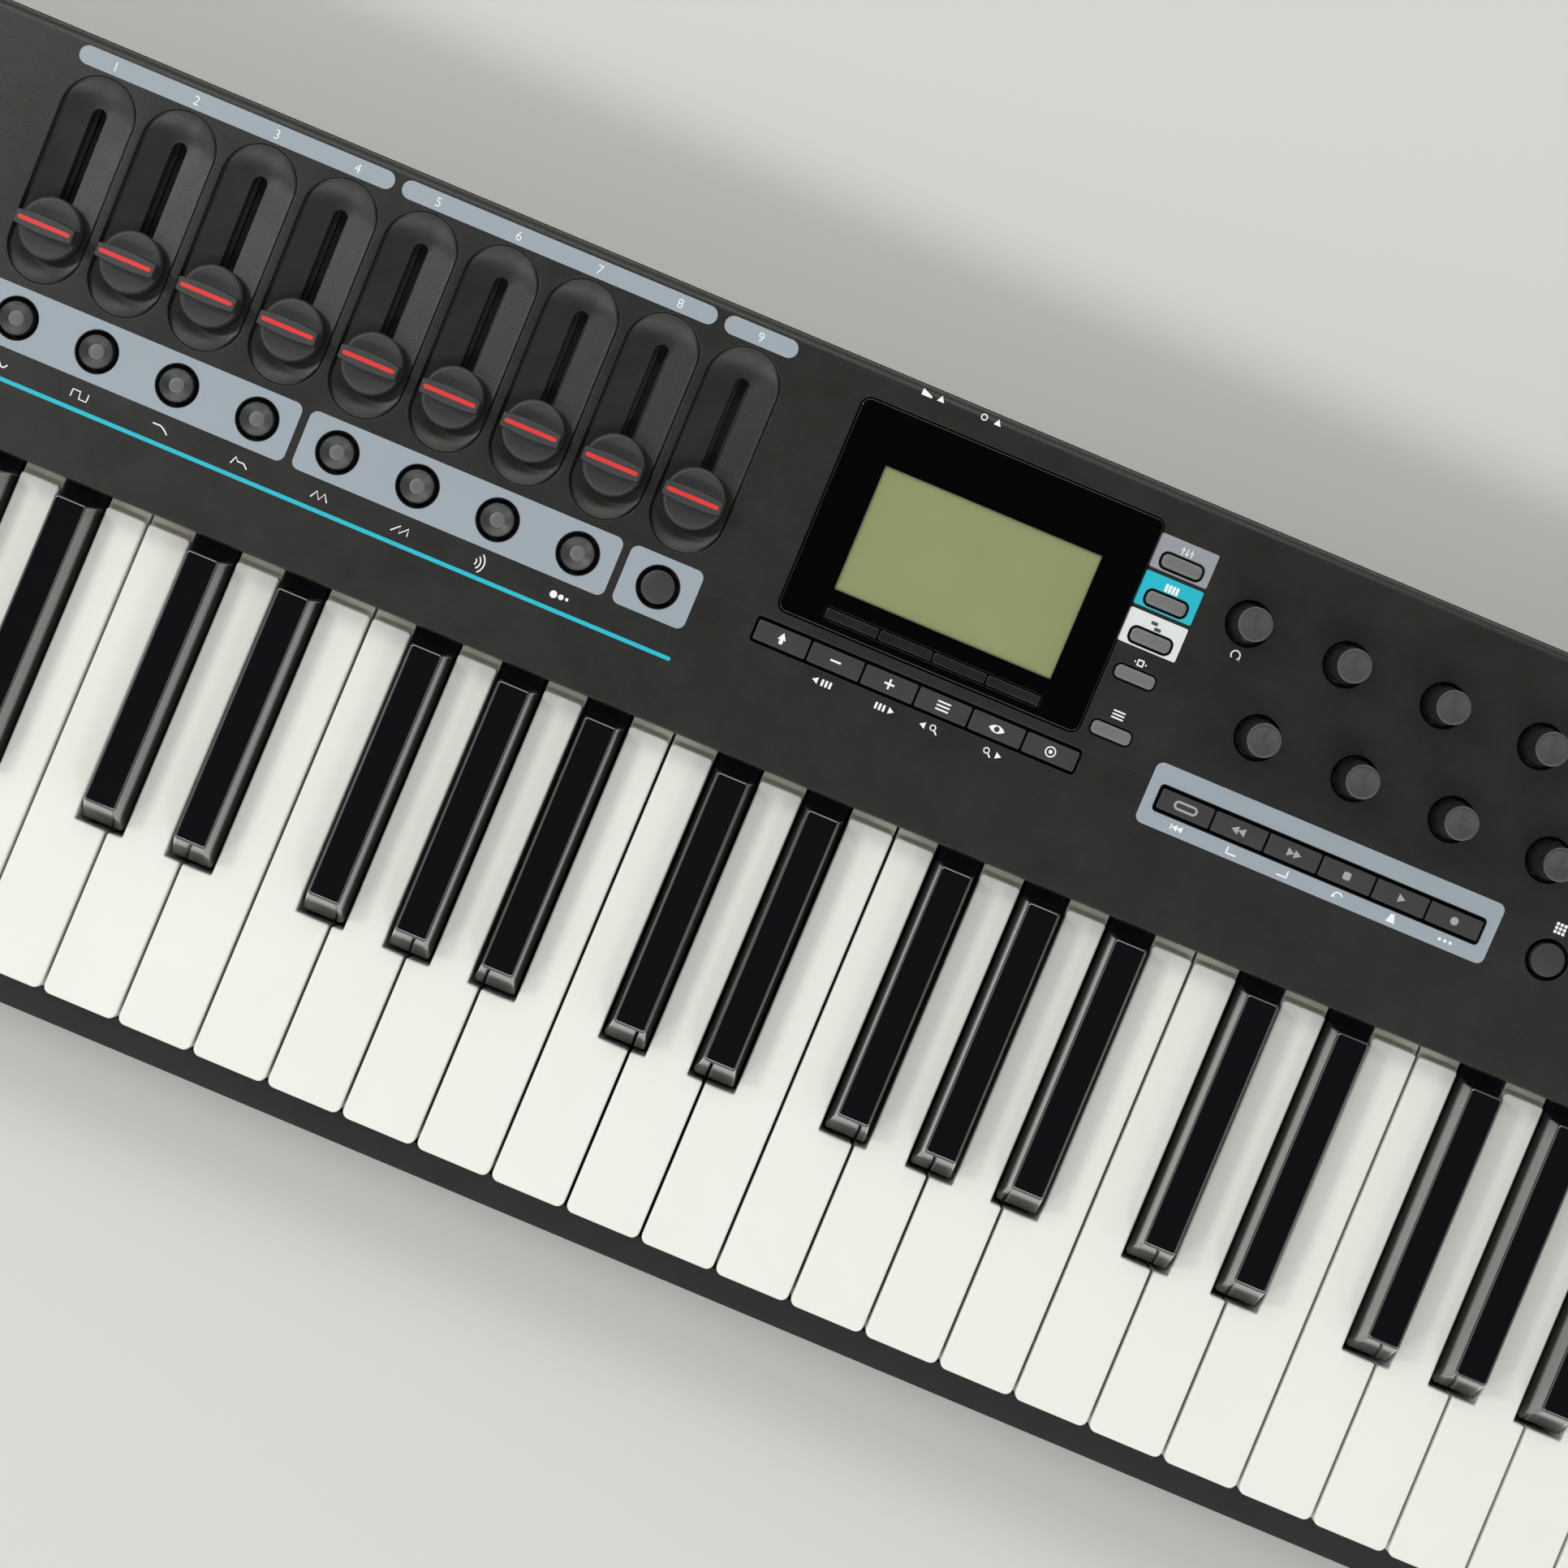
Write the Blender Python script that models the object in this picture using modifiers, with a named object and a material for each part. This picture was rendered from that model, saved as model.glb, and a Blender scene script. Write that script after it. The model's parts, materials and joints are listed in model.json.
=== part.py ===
"""A 49-key keyboard controller: keybed, faders, encoders, buttons, pads, wheels, display and boards.

Run it with: blender --background --python part.py
+X runs along the keys to the player's right, +Y away from the player, +Z up. The origin is on the table,
at the centre of the instrument's outline. Lengths are metres.
"""

import math

import bmesh
import bpy
from mathutils import Matrix, Vector

MM = 0.001
GAP = 0.3 * MM
WELD = 0.001 * MM

# Whole instrument
LENGTH = 800 * MM
DEPTH = 270 * MM
FOOT_HEIGHT = 5 * MM
WALL = 3 * MM
CORNER = 7 * MM
FLOOR = FOOT_HEIGHT + WALL

# Control panel: a moulded top that rises towards the rear. Its own Z is called the lift.
TILT = math.radians(4)
PANEL_Y = 14.5 * MM
PANEL_Z = 71 * MM
PANEL_SKIN = 2.5 * MM
SKIRT = 8 * MM
RIM = 1.5 * MM
BOARD_DROP = 14 * MM
BOARD_THICK = 1.6 * MM

# Keys
WHITE_PITCH = 23.5 * MM
KEY_GAP = 0.9 * MM
KEYS_LEFT = -298.9 * MM
WHITE_COUNT = 29
WHITE_FRONT = -125.2 * MM
WHITE_REAR = 12 * MM
WHITE_TOP = 60 * MM
WHITE_BOTTOM = 42 * MM
WHITE_SKIN = 2 * MM
WHITE_SIDE = 1.4 * MM
STEP_TOP = WHITE_TOP - 2.5 * MM
NOTCH_WIDTH = 14.8 * MM
NOTCH_FRONT = -76.3 * MM
BLACK_TOP = 71.5 * MM
BLACK_TOP_WIDTH = 9.7 * MM
BLACK_WIDTH = 12.5 * MM
BLACK_FRONT = -73.9 * MM
BLACK_TOP_FRONT = -69 * MM
BLACK_TOP_REAR = 9.6 * MM
TAIL_REAR = 32 * MM
ARM_REAR = 50 * MM
ARM_THICK = 2 * MM
HINGE_Y = 47 * MM
HINGE_Z = 50 * MM
POST_TOP = 46 * MM
DOME_TOP = 33 * MM

# Each group of keys has its arm at its own height, so that the three strips of an octave stack.
ARM_HEIGHTS = {"c_e_g_b": 46 * MM, "d_f_a": 50 * MM, "black": 54 * MM}
GROUP_NOTES = {"c_e_g_b": (0, 4, 7, 11), "d_f_a": (2, 5, 9), "black": (1, 3, 6, 8, 10)}
NOTE_NAMES = ("c", "c_sharp", "d", "d_sharp", "e", "f", "f_sharp", "g", "g_sharp", "a", "a_sharp", "b")
WHITE_PLACE = {0: 0, 2: 1, 4: 2, 5: 3, 7: 4, 9: 5, 11: 6}
BLACK_PLACE = {1: 1, 3: 2, 6: 4, 8: 5, 10: 6}
BLACK_SHIFT = {1: -2.6 * MM, 3: 2.0 * MM, 6: -3.6 * MM, 8: 0.0, 10: 3.4 * MM}
OCTAVE_WIDTH = 7 * WHITE_PITCH
SINGLE_OCTAVE = 3

# Key bay: the opening between the left block and the right cheek
BAY_LEFT = KEYS_LEFT - 0.5 * MM
BAY_RIGHT = KEYS_LEFT + WHITE_COUNT * WHITE_PITCH + 0.5 * MM
LIP_REAR = -126 * MM
LIP_TOP = 47 * MM
LIP_THICK = 2.5 * MM
BAY_WALL_REAR = 17 * MM

# Faders
FADER_PITCH = 24.8 * MM
FADER_COUNT = 9
FADER_FIRST = -188.3 * MM
FADER_REST_Y = 78.4 * MM
RECESS_Y = 93.3 * MM
RECESS_WIDTH = 22 * MM
RECESS_LENGTH = 61.7 * MM
RECESS_DEPTH = 3 * MM
SLOT_WIDTH = 4.3 * MM
SLOT_LENGTH = 43.7 * MM
CAP_RADIUS = 9 * MM

# Buttons on the panel
ROUND_BUTTON_Y = 51.3 * MM
ROUND_HOLE_RADIUS = 6.1 * MM
ROUND_CAP_RADIUS = 4.9 * MM
BANK_BUTTON_X = 285.2 * MM
DISPLAY_X = 90 * MM
DISPLAY_Y = 91.4 * MM
DISPLAY_SIZE = (92.7 * MM, 65.4 * MM)
LCD_SIZE = (66.6 * MM, 37.7 * MM)
LCD_Y = 89.1 * MM
SOFT_KEY_Y = 63.2 * MM
SOFT_KEY = (16.2 * MM, 3 * MM)
SOFT_KEY_PITCH = 16.6 * MM
ROW_KEY = (16 * MM, 6 * MM)
ROW_KEY_PITCH = 16.6 * MM
ROW_KEY_Y = 51.3 * MM
ROW_SLOT = (100.3 * MM, 7.7 * MM)
TRANSPORT_X = 214.8 * MM
MODE_X = 145.3 * MM
MODE_YS = (113.9 * MM, 102.6 * MM, 91.3 * MM, 80.1 * MM, 62.9 * MM)
MODE_CAP = (12 * MM, 4 * MM)

# Encoders, in two staggered rows
ENCODER_FIRST_X = 169.2 * MM
ENCODER_PITCH = 30 * MM
ENCODER_STAGGER = 15 * MM
ENCODER_ROWS = (106.4 * MM, 77.6 * MM)
ENCODER_HOLE_RADIUS = 6.65 * MM
ENCODER_HEIGHT = 15 * MM

# Pads, in three columns and four rows
PAD_COLUMNS = (317 * MM, 344 * MM, 371 * MM)
PAD_ROWS = (36 * MM, 62 * MM, 88 * MM, 114 * MM)
PAD_SIZE = 23.6 * MM

# Left block: two wheels and four octave buttons
WHEEL_XS = {"pitch_wheel": -370 * MM, "mod_wheel": -332 * MM}
WHEEL_DIP_ANGLES = {"pitch_wheel": 0.0, "mod_wheel": math.radians(35)}
WHEEL_Y = -62 * MM
WHEEL_DROP = 13 * MM
WHEEL_RADIUS = 25 * MM
WHEEL_WIDTH = 14 * MM
AXLE_RADIUS = 3 * MM
OCTAVE_XS = (-368 * MM, -334 * MM)
OCTAVE_YS = (-18 * MM, 0 * MM)
OCTAVE_CAP = (16 * MM, 7 * MM)

# Rear sockets, on the main board
SOCKET_Z = 45 * MM
PEDAL_XS = (62.4 * MM, 79.8 * MM)
MIDI_X = 104 * MM
USB_X = 129 * MM
POWER_X = 148 * MM
SWITCH_X = 171 * MM
RECESSED_FACE = 132 * MM

FEET = {
    "foot_front_left": (-350 * MM, -112 * MM),
    "foot_front_right": (350 * MM, -112 * MM),
    "foot_rear_left": (-350 * MM, 112 * MM),
    "foot_rear_right": (350 * MM, 112 * MM),
}
FOOT_RADIUS = 11 * MM


# Scene set-up


def clear_scene():
    for obj in list(bpy.data.objects):
        bpy.data.objects.remove(obj, do_unlink=True)


def new_collection(name):
    collection = bpy.data.collections.new(name)
    bpy.context.scene.collection.children.link(collection)
    return collection


def material(name, colour, roughness, metallic=0.0):
    made = bpy.data.materials.new(name)
    made.use_nodes = True
    shader = made.node_tree.nodes["Principled BSDF"]
    shader.inputs["Base Color"].default_value = (*colour, 1.0)
    shader.inputs["Roughness"].default_value = roughness
    shader.inputs["Metallic"].default_value = metallic
    return made


clear_scene()
PARTS = new_collection("keyboard_controller")
CUTTERS = new_collection("cutters")
MATERIALS = {
    "case": material("case", (0.045, 0.046, 0.05), 0.6),
    "panel": material("panel", (0.05, 0.048, 0.043), 0.55),
    "white_key": material("white_key", (0.86, 0.84, 0.78), 0.3),
    "black_key": material("black_key", (0.01, 0.01, 0.012), 0.15),
    "frame": material("frame", (0.2, 0.2, 0.21), 0.6),
    "board": material("board", (0.02, 0.12, 0.06), 0.5),
    "cap": material("cap", (0.035, 0.035, 0.038), 0.5),
    "button": material("button", (0.03, 0.03, 0.033), 0.5),
    "grey_button": material("grey_button", (0.22, 0.22, 0.22), 0.45),
    "pad": material("pad", (0.05, 0.05, 0.052), 0.75),
    "bezel": material("bezel", (0.008, 0.008, 0.009), 0.1),
    "screen": material("screen", (0.28, 0.32, 0.15), 0.3),
    "rubber": material("rubber", (0.03, 0.03, 0.03), 0.85),
}


# Outlines: lists of (x, y) points, anticlockwise


def arc(centre, radius, start, end, steps):
    """Points on an arc from angle start to angle end, in degrees, ends included."""
    angles = [math.radians(start + (end - start) * i / steps) for i in range(steps + 1)]
    return [(centre[0] + radius * math.cos(a), centre[1] + radius * math.sin(a)) for a in angles]


def around(middle, half):
    return middle - half, middle + half


def rectangle(centre, size):
    x, y = centre
    w, h = size[0] / 2, size[1] / 2
    return [(x - w, y - h), (x + w, y - h), (x + w, y + h), (x - w, y + h)]


def circle(centre, radius, steps=16):
    return arc(centre, radius, 0, 360, steps)[:-1]


def rounded(centre, size, radius, steps=3):
    """A rectangle with round corners. With a radius of half its width it is a stadium."""
    x, y = size[0] / 2 - radius, size[1] / 2 - radius
    points = []
    for sx, sy, start in ((1, 1, 0), (-1, 1, 90), (-1, -1, 180), (1, -1, 270)):
        points += arc((centre[0] + sx * x, centre[1] + sy * y), radius, start, start + 90, steps)
    unique = []
    for point in points:
        if not unique or math.dist(point, unique[-1]) > WELD:
            unique.append(point)
    if math.dist(unique[0], unique[-1]) <= WELD:
        unique.pop()
    return unique


# Shapes: meshes with no object


def cleaned(mesh):
    work = bmesh.new()
    work.from_mesh(mesh)
    bmesh.ops.remove_doubles(work, verts=work.verts, dist=WELD)
    bmesh.ops.recalc_face_normals(work, faces=work.faces)
    work.to_mesh(mesh)
    work.free()
    return mesh


def slab(outlines, low, high):
    """Flat outlines given thickness, from z low to z high."""
    curve = bpy.data.curves.new("outline", "CURVE")
    curve.dimensions = "2D"
    curve.fill_mode = "BOTH"
    curve.extrude = (high - low) / 2
    for outline in outlines:
        spline = curve.splines.new("POLY")
        spline.points.add(len(outline) - 1)
        for point, (x, y) in zip(spline.points, outline):
            point.co = (x, y, 0, 1)
        spline.use_cyclic_u = True
    obj = bpy.data.objects.new("outline", curve)
    bpy.context.scene.collection.objects.link(obj)
    seen = obj.evaluated_get(bpy.context.evaluated_depsgraph_get())
    mesh = bpy.data.meshes.new_from_object(seen)
    bpy.data.objects.remove(obj)
    mesh.transform(Matrix.Translation((0, 0, (low + high) / 2)))
    return cleaned(mesh)


def side_slab(outline, left, right):
    """An outline in the YZ plane, given thickness from x left to x right."""
    mesh = slab([outline], left, right)
    mesh.transform(Matrix(((0, 0, 1, 0), (1, 0, 0, 0), (0, 1, 0, 0), (0, 0, 0, 1))))
    return mesh


def block(low, high):
    """A box from its lowest corner to its highest."""
    low, high = Vector(low), Vector(high)
    work = bmesh.new()
    bmesh.ops.create_cube(work, size=1.0)
    size = high - low
    bmesh.ops.scale(work, vec=size, verts=work.verts)
    bmesh.ops.translate(work, vec=(low + high) / 2, verts=work.verts)
    mesh = bpy.data.meshes.new("block")
    work.to_mesh(mesh)
    work.free()
    return mesh


def bar(x, half_width, ys, zs):
    """A box centred on x, from ys[0] to ys[1] and from zs[0] to zs[1]."""
    return block((x - half_width, ys[0], zs[0]), (x + half_width, ys[1], zs[1]))


def drum(radius, low, high, steps=16, top_radius=None):
    """A cylinder or cone along Z, between two points one above the other."""
    low, high = Vector(low), Vector(high)
    work = bmesh.new()
    top = radius if top_radius is None else top_radius
    depth = (high - low).length
    bmesh.ops.create_cone(work, cap_ends=True, segments=steps, radius1=radius, radius2=top, depth=depth)
    bmesh.ops.translate(work, vec=(low + high) / 2, verts=work.verts)
    mesh = bpy.data.meshes.new("drum")
    work.to_mesh(mesh)
    work.free()
    return mesh


def rear_drum(radius, x, z, front, rear, steps=16):
    """A cylinder along Y, from y front to y rear."""
    mesh = drum(radius, (0, 0, front), (0, 0, rear), steps)
    mesh.transform(Matrix.Translation((x, 0, z)) @ Matrix.Rotation(math.radians(-90), 4, "X"))
    return mesh


def side_drum(radius, left, right, steps=16):
    """A cylinder along X through the origin, from x left to x right."""
    mesh = drum(radius, (0, 0, left), (0, 0, right), steps)
    mesh.transform(Matrix.Rotation(math.radians(90), 4, "Y"))
    return mesh


def frustum(low, high, top_low, top_high):
    """A box whose top face is the rectangle from top_low to top_high."""
    mesh = block(low, high)
    top = high[2]
    for vertex in mesh.vertices:
        if vertex.co.z > top - WELD:
            vertex.co.x = top_low[0] if vertex.co.x < (low[0] + high[0]) / 2 else top_high[0]
            vertex.co.y = top_low[1] if vertex.co.y < (low[1] + high[1]) / 2 else top_high[1]
    return mesh


def gathered(meshes):
    """Several shapes that don't touch, as one mesh."""
    work = bmesh.new()
    for mesh in meshes:
        work.from_mesh(mesh)
        bpy.data.meshes.remove(mesh)
    made = bpy.data.meshes.new("gathered")
    work.to_mesh(made)
    work.free()
    return made


# Objects


def part(name, mesh, finish, place=None):
    """A named object in the parts collection. place is its matrix."""
    mesh.name = name
    mesh.materials.clear()
    mesh.materials.append(MATERIALS[finish])
    obj = bpy.data.objects.new(name, mesh)
    PARTS.objects.link(obj)
    if place is not None:
        obj.matrix_world = place
    return obj


def combine(obj, mesh, operation):
    """Adds a Boolean modifier whose other operand is mesh, in the object's own space."""
    tool = bpy.data.objects.new(f"{obj.name}_{operation.lower()}", mesh)
    CUTTERS.objects.link(tool)
    tool.matrix_world = obj.matrix_world.copy()
    tool.hide_render = True
    tool.display_type = "WIRE"
    modifier = obj.modifiers.new(operation.title(), "BOOLEAN")
    modifier.operation = operation
    modifier.solver = "EXACT"
    modifier.object = tool


def cut(obj, *meshes):
    combine(obj, gathered(meshes), "DIFFERENCE")


def add(obj, *meshes):
    combine(obj, gathered(meshes), "UNION")


def finished(obj):
    """The object's mesh with its modifiers applied. The object is removed."""
    bpy.context.view_layer.update()
    seen = obj.evaluated_get(bpy.context.evaluated_depsgraph_get())
    mesh = bpy.data.meshes.new_from_object(seen)
    bpy.data.objects.remove(obj)
    return mesh


def turned(name, profile, finish, steps):
    """A turned piece: (radius, z) points from the top of the axis, down the outer side."""
    mesh = bpy.data.meshes.new(name)
    count = len(profile)
    mesh.from_pydata([(r, 0, z) for r, z in profile], [(i, i + 1) for i in range(count - 1)], [])
    obj = part(name, mesh, finish)
    screw = obj.modifiers.new("Turn", "SCREW")
    screw.steps = steps
    screw.render_steps = steps
    screw.use_merge_vertices = True
    screw.merge_threshold = WELD
    return obj


# Places on the control panel


def slope(y):
    """Distance up the panel from its front edge, for a point at that y."""
    return (y - PANEL_Y) / math.cos(TILT)


def panel_place(x=0.0, y=PANEL_Y, lift=0.0):
    """The matrix of something that stands on the panel at x and y."""
    turn = Matrix.Rotation(TILT, 4, "X")
    foot = Vector((x, PANEL_Y, PANEL_Z)) + turn @ Vector((0, slope(y), lift))
    return Matrix.Translation(foot) @ turn


def panel_height(y):
    return PANEL_Z + (y - PANEL_Y) * math.tan(TILT)


# Keys


def octave_left(octave):
    return KEYS_LEFT + (octave - 1) * OCTAVE_WIDTH


def white_edges(left, note):
    start = left + WHITE_PLACE[note] * WHITE_PITCH
    return start + KEY_GAP / 2, start + WHITE_PITCH - KEY_GAP / 2


def black_centre(left, note):
    return left + BLACK_PLACE[note] * WHITE_PITCH + BLACK_SHIFT[note]


def key_profile(arm, front, bottom, top, step_y, step_top):
    """A key's side view: playing part, lower step under the panel, and the thin arm at its hinge."""
    tail_bottom = bottom + 3 * MM
    return [
        (front, bottom),
        (step_y - 4 * MM, bottom),
        (step_y + 2 * MM, tail_bottom),
        (TAIL_REAR, tail_bottom),
        (TAIL_REAR, arm),
        (ARM_REAR, arm),
        (ARM_REAR, arm + ARM_THICK),
        (TAIL_REAR, arm + ARM_THICK),
        (TAIL_REAR, step_top),
        (step_y, step_top),
        (step_y, top),
        (front, top),
    ]


def lane(left, note, last=False):
    """The strip of a white key that runs back between its black neighbours."""
    start, end = white_edges(left, note)
    if note - 1 in BLACK_PLACE:
        start = black_centre(left, note - 1) + NOTCH_WIDTH / 2
    if note + 1 in BLACK_PLACE and not last:
        end = black_centre(left, note + 1) - NOTCH_WIDTH / 2
    return start, end


def white_pocket(left, note, last=False):
    """The hollow under a white key, one side wall's thickness inside its outline."""
    start, end = white_edges(left, note)
    lane_start, lane_end = lane(left, note, last)
    front, shoulder, rear = WHITE_FRONT + WHITE_SIDE, NOTCH_FRONT - WHITE_SIDE, WHITE_REAR - 4 * MM
    outline = [(start + WHITE_SIDE, front), (end - WHITE_SIDE, front)]
    if lane_end < end:
        outline += [(end - WHITE_SIDE, shoulder)]
        outline += [(lane_end - WHITE_SIDE, shoulder)]
    outline += [(lane_end - WHITE_SIDE, rear), (lane_start + WHITE_SIDE, rear)]
    if lane_start > start:
        outline += [(lane_start + WHITE_SIDE, shoulder), (start + WHITE_SIDE, shoulder)]
    return slab([outline], WHITE_BOTTOM - MM, WHITE_TOP - WHITE_SKIN)


def notch(left, note):
    centre = black_centre(left, note)
    half = NOTCH_WIDTH / 2
    return block(
        (centre - half, NOTCH_FRONT, WHITE_BOTTOM - MM),
        (centre + half, ARM_REAR + MM, WHITE_TOP + MM),
    )


def white_body(left, note, arm):
    profile = key_profile(arm, WHITE_FRONT, WHITE_BOTTOM, WHITE_TOP, WHITE_REAR, STEP_TOP)
    return side_slab(profile, *white_edges(left, note))


def black_base(left, note):
    """The part of a black key below the white keys' tops, with its tail and arm."""
    centre = black_centre(left, note)
    bottom, top = WHITE_BOTTOM + 7 * MM, WHITE_TOP - MM
    front = BLACK_FRONT + 0.6 * MM
    profile = key_profile(ARM_HEIGHTS["black"], front, bottom, top, WHITE_REAR, STEP_TOP)
    return side_slab(profile, centre - BLACK_WIDTH / 2, centre + BLACK_WIDTH / 2)


def black_crown(left, note):
    """The tapered part of a black key that stands above the white keys."""
    centre = black_centre(left, note)
    base, top = BLACK_WIDTH / 2 + 0.2 * MM, BLACK_TOP_WIDTH / 2
    return frustum(
        (centre - base, BLACK_FRONT, WHITE_TOP - 3 * MM),
        (centre + base, BLACK_TOP_REAR + 1.2 * MM, BLACK_TOP),
        (centre - top, BLACK_TOP_FRONT),
        (centre + top, BLACK_TOP_REAR),
    )


def black_pocket(left, note):
    centre = black_centre(left, note)
    return block(
        (centre - 3.6 * MM, BLACK_FRONT + 6 * MM, WHITE_BOTTOM + 6 * MM),
        (centre + 3.6 * MM, BLACK_TOP_REAR - 4 * MM, BLACK_TOP - WHITE_SKIN),
    )


def strip(left, group, extra=0.0):
    """The strip that joins the keys of a group at their hinge."""
    height = ARM_HEIGHTS[group]
    return block(
        (left + MM, TAIL_REAR + 3 * MM, height + 0.2 * MM),
        (left + OCTAVE_WIDTH - MM + extra, ARM_REAR - MM, height + ARM_THICK - 0.2 * MM),
    )


def key_part(name, bodies):
    """A key or a strip of keys, with its origin on the hinge."""
    hinge = Matrix.Translation((0, HINGE_Y, HINGE_Z))
    mesh = gathered(bodies)
    mesh.transform(hinge.inverted())
    return part(name, mesh, "black_key" if "black" in name or "sharp" in name else "white_key", hinge)


def at_hinge(mesh):
    mesh.transform(Matrix.Translation((0, -HINGE_Y, -HINGE_Z)))
    return mesh


def white_keys(name, left, notes, group, with_strip, with_top_c):
    arm = ARM_HEIGHTS[group]
    bodies = [white_body(left, note, arm) for note in notes]
    pockets = [white_pocket(left, note) for note in notes]
    if with_top_c:
        bodies.append(white_body(left + OCTAVE_WIDTH, 0, arm))
        pockets.append(white_pocket(left + OCTAVE_WIDTH, 0, last=True))
    obj = key_part(name, bodies)
    beside = sorted({n for note in notes for n in (note - 1, note + 1) if n in BLACK_PLACE})
    cut(obj, *[at_hinge(notch(left, note)) for note in beside])
    cut(obj, *[at_hinge(pocket) for pocket in pockets])
    if with_strip:
        extra = WHITE_PITCH if with_top_c else 0.0
        add(obj, at_hinge(strip(left, group, extra)))


def black_keys(name, left, notes, with_strip):
    obj = key_part(name, [black_base(left, note) for note in notes])
    add(obj, *[at_hinge(black_crown(left, note)) for note in notes])
    cut(obj, *[at_hinge(black_pocket(left, note)) for note in notes])
    if with_strip:
        add(obj, at_hinge(strip(left, "black")))


def build_keys():
    for octave in (1, 2, 3, 4):
        left = octave_left(octave)
        single = octave == SINGLE_OCTAVE
        for group, notes in GROUP_NOTES.items():
            sets = [(note,) for note in notes] if single else [notes]
            for chosen in sets:
                name = f"key_{NOTE_NAMES[chosen[0]]}_{octave}" if single else f"keys_{group}_{octave}"
                if group == "black":
                    black_keys(name, left, chosen, not single)
                else:
                    top_c = octave == 4 and group == "c_e_g_b"
                    white_keys(name, left, chosen, group, not single, top_c)


# Keybed


def build_keybed():
    """The tray that carries the keys: legs, guide posts at the front and a hinge rail at the rear."""
    left, right = KEYS_LEFT + 0.2 * MM, BAY_RIGHT - 0.7 * MM
    middle, half = (left + right) / 2, (right - left) / 2
    plate = (20 * MM, 22.5 * MM)
    root = plate[1] - MM
    shelf = 28 * MM
    rail = (-116 * MM, -108 * MM)
    rail_top = 31 * MM
    hinge = (HINGE_Y - 2 * MM, HINGE_Y + 2 * MM)
    hinge_top = ARM_HEIGHTS["c_e_g_b"] - GAP
    frame = part("keybed_frame", bar(middle, half, (-119 * MM, 52 * MM), plate), "frame")
    legs = [(y, y + WALL) for y in (-104 * MM, -38 * MM, 40 * MM)]
    ribs = [bar(middle, half - MM, leg, (FLOOR + GAP, root)) for leg in legs]
    ribs += [bar(middle, half - MM, (y, y + WALL), (root, shelf)) for y in (-59 * MM, -20 * MM)]
    ribs.append(bar(middle, half - MM, rail, (root, rail_top)))
    ribs.append(bar(middle, half - MM, hinge, (root, hinge_top)))
    add(frame, *ribs)
    posts = []
    for index in range(WHITE_COUNT):
        x = KEYS_LEFT + (index + 0.5) * WHITE_PITCH
        posts.append(bar(x, 3 * MM, (-114 * MM, -110 * MM), (rail_top - MM, POST_TOP)))
    add(frame, *posts, *hinge_risers(hinge_top))

    low = shelf + GAP
    high = low + BOARD_THICK
    board = part("key_contact_board", bar(middle, half, (-60 * MM, -16 * MM), (low, high)), "board")
    base, top = half - 4 * MM, half - 5 * MM
    rows = []
    for y in (-47 * MM, -29 * MM):
        rows.append(
            frustum(
                (middle - base, y - 4 * MM, high - 0.5 * MM),
                (middle + base, y + 4 * MM, DOME_TOP),
                (middle - top, y - 2.5 * MM),
                (middle + top, y + 2.5 * MM),
            )
        )
    add(board, *rows)


def hinge_risers(hinge_top):
    """Blocks on the hinge rail under the single keys whose arms are higher than the rail."""
    left = octave_left(SINGLE_OCTAVE)
    ys = (HINGE_Y - 1.5 * MM, HINGE_Y + 1.5 * MM)
    risers = []
    for group in ("d_f_a", "black"):
        for note in GROUP_NOTES[group]:
            if group == "black":
                centre, half = black_centre(left, note), BLACK_WIDTH / 2 - MM
            else:
                start, end = lane(left, note)
                centre, half = (start + end) / 2, (end - start) / 2 - MM
            risers.append(bar(centre, half, ys, (hinge_top - MM, ARM_HEIGHTS[group] - GAP)))
    return risers


# Case


def case_profile():
    """The case's side view, with its slanting top edge."""
    front, rear = -DEPTH / 2, DEPTH / 2
    return [
        (front, 14 * MM),
        (front + 6 * MM, FOOT_HEIGHT),
        (rear - 6 * MM, FOOT_HEIGHT),
        (rear, 12 * MM),
        (rear, panel_height(rear) - SKIRT - GAP),
        (front, panel_height(front) - SKIRT - GAP),
    ]


def case_hollow():
    """The plan of the case's inside: one space with a wall on each side of the key bay."""
    side, front, rear = LENGTH / 2 - WALL, LIP_REAR, DEPTH / 2 - WALL
    return [
        (-side, front),
        (BAY_LEFT - WALL, front),
        (BAY_LEFT - WALL, BAY_WALL_REAR),
        (BAY_LEFT, BAY_WALL_REAR),
        (BAY_LEFT, front),
        (BAY_RIGHT, front),
        (BAY_RIGHT, BAY_WALL_REAR),
        (BAY_RIGHT + WALL, BAY_WALL_REAR),
        (BAY_RIGHT + WALL, front),
        (side, front),
        (side, rear),
        (-side, rear),
    ]


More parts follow.
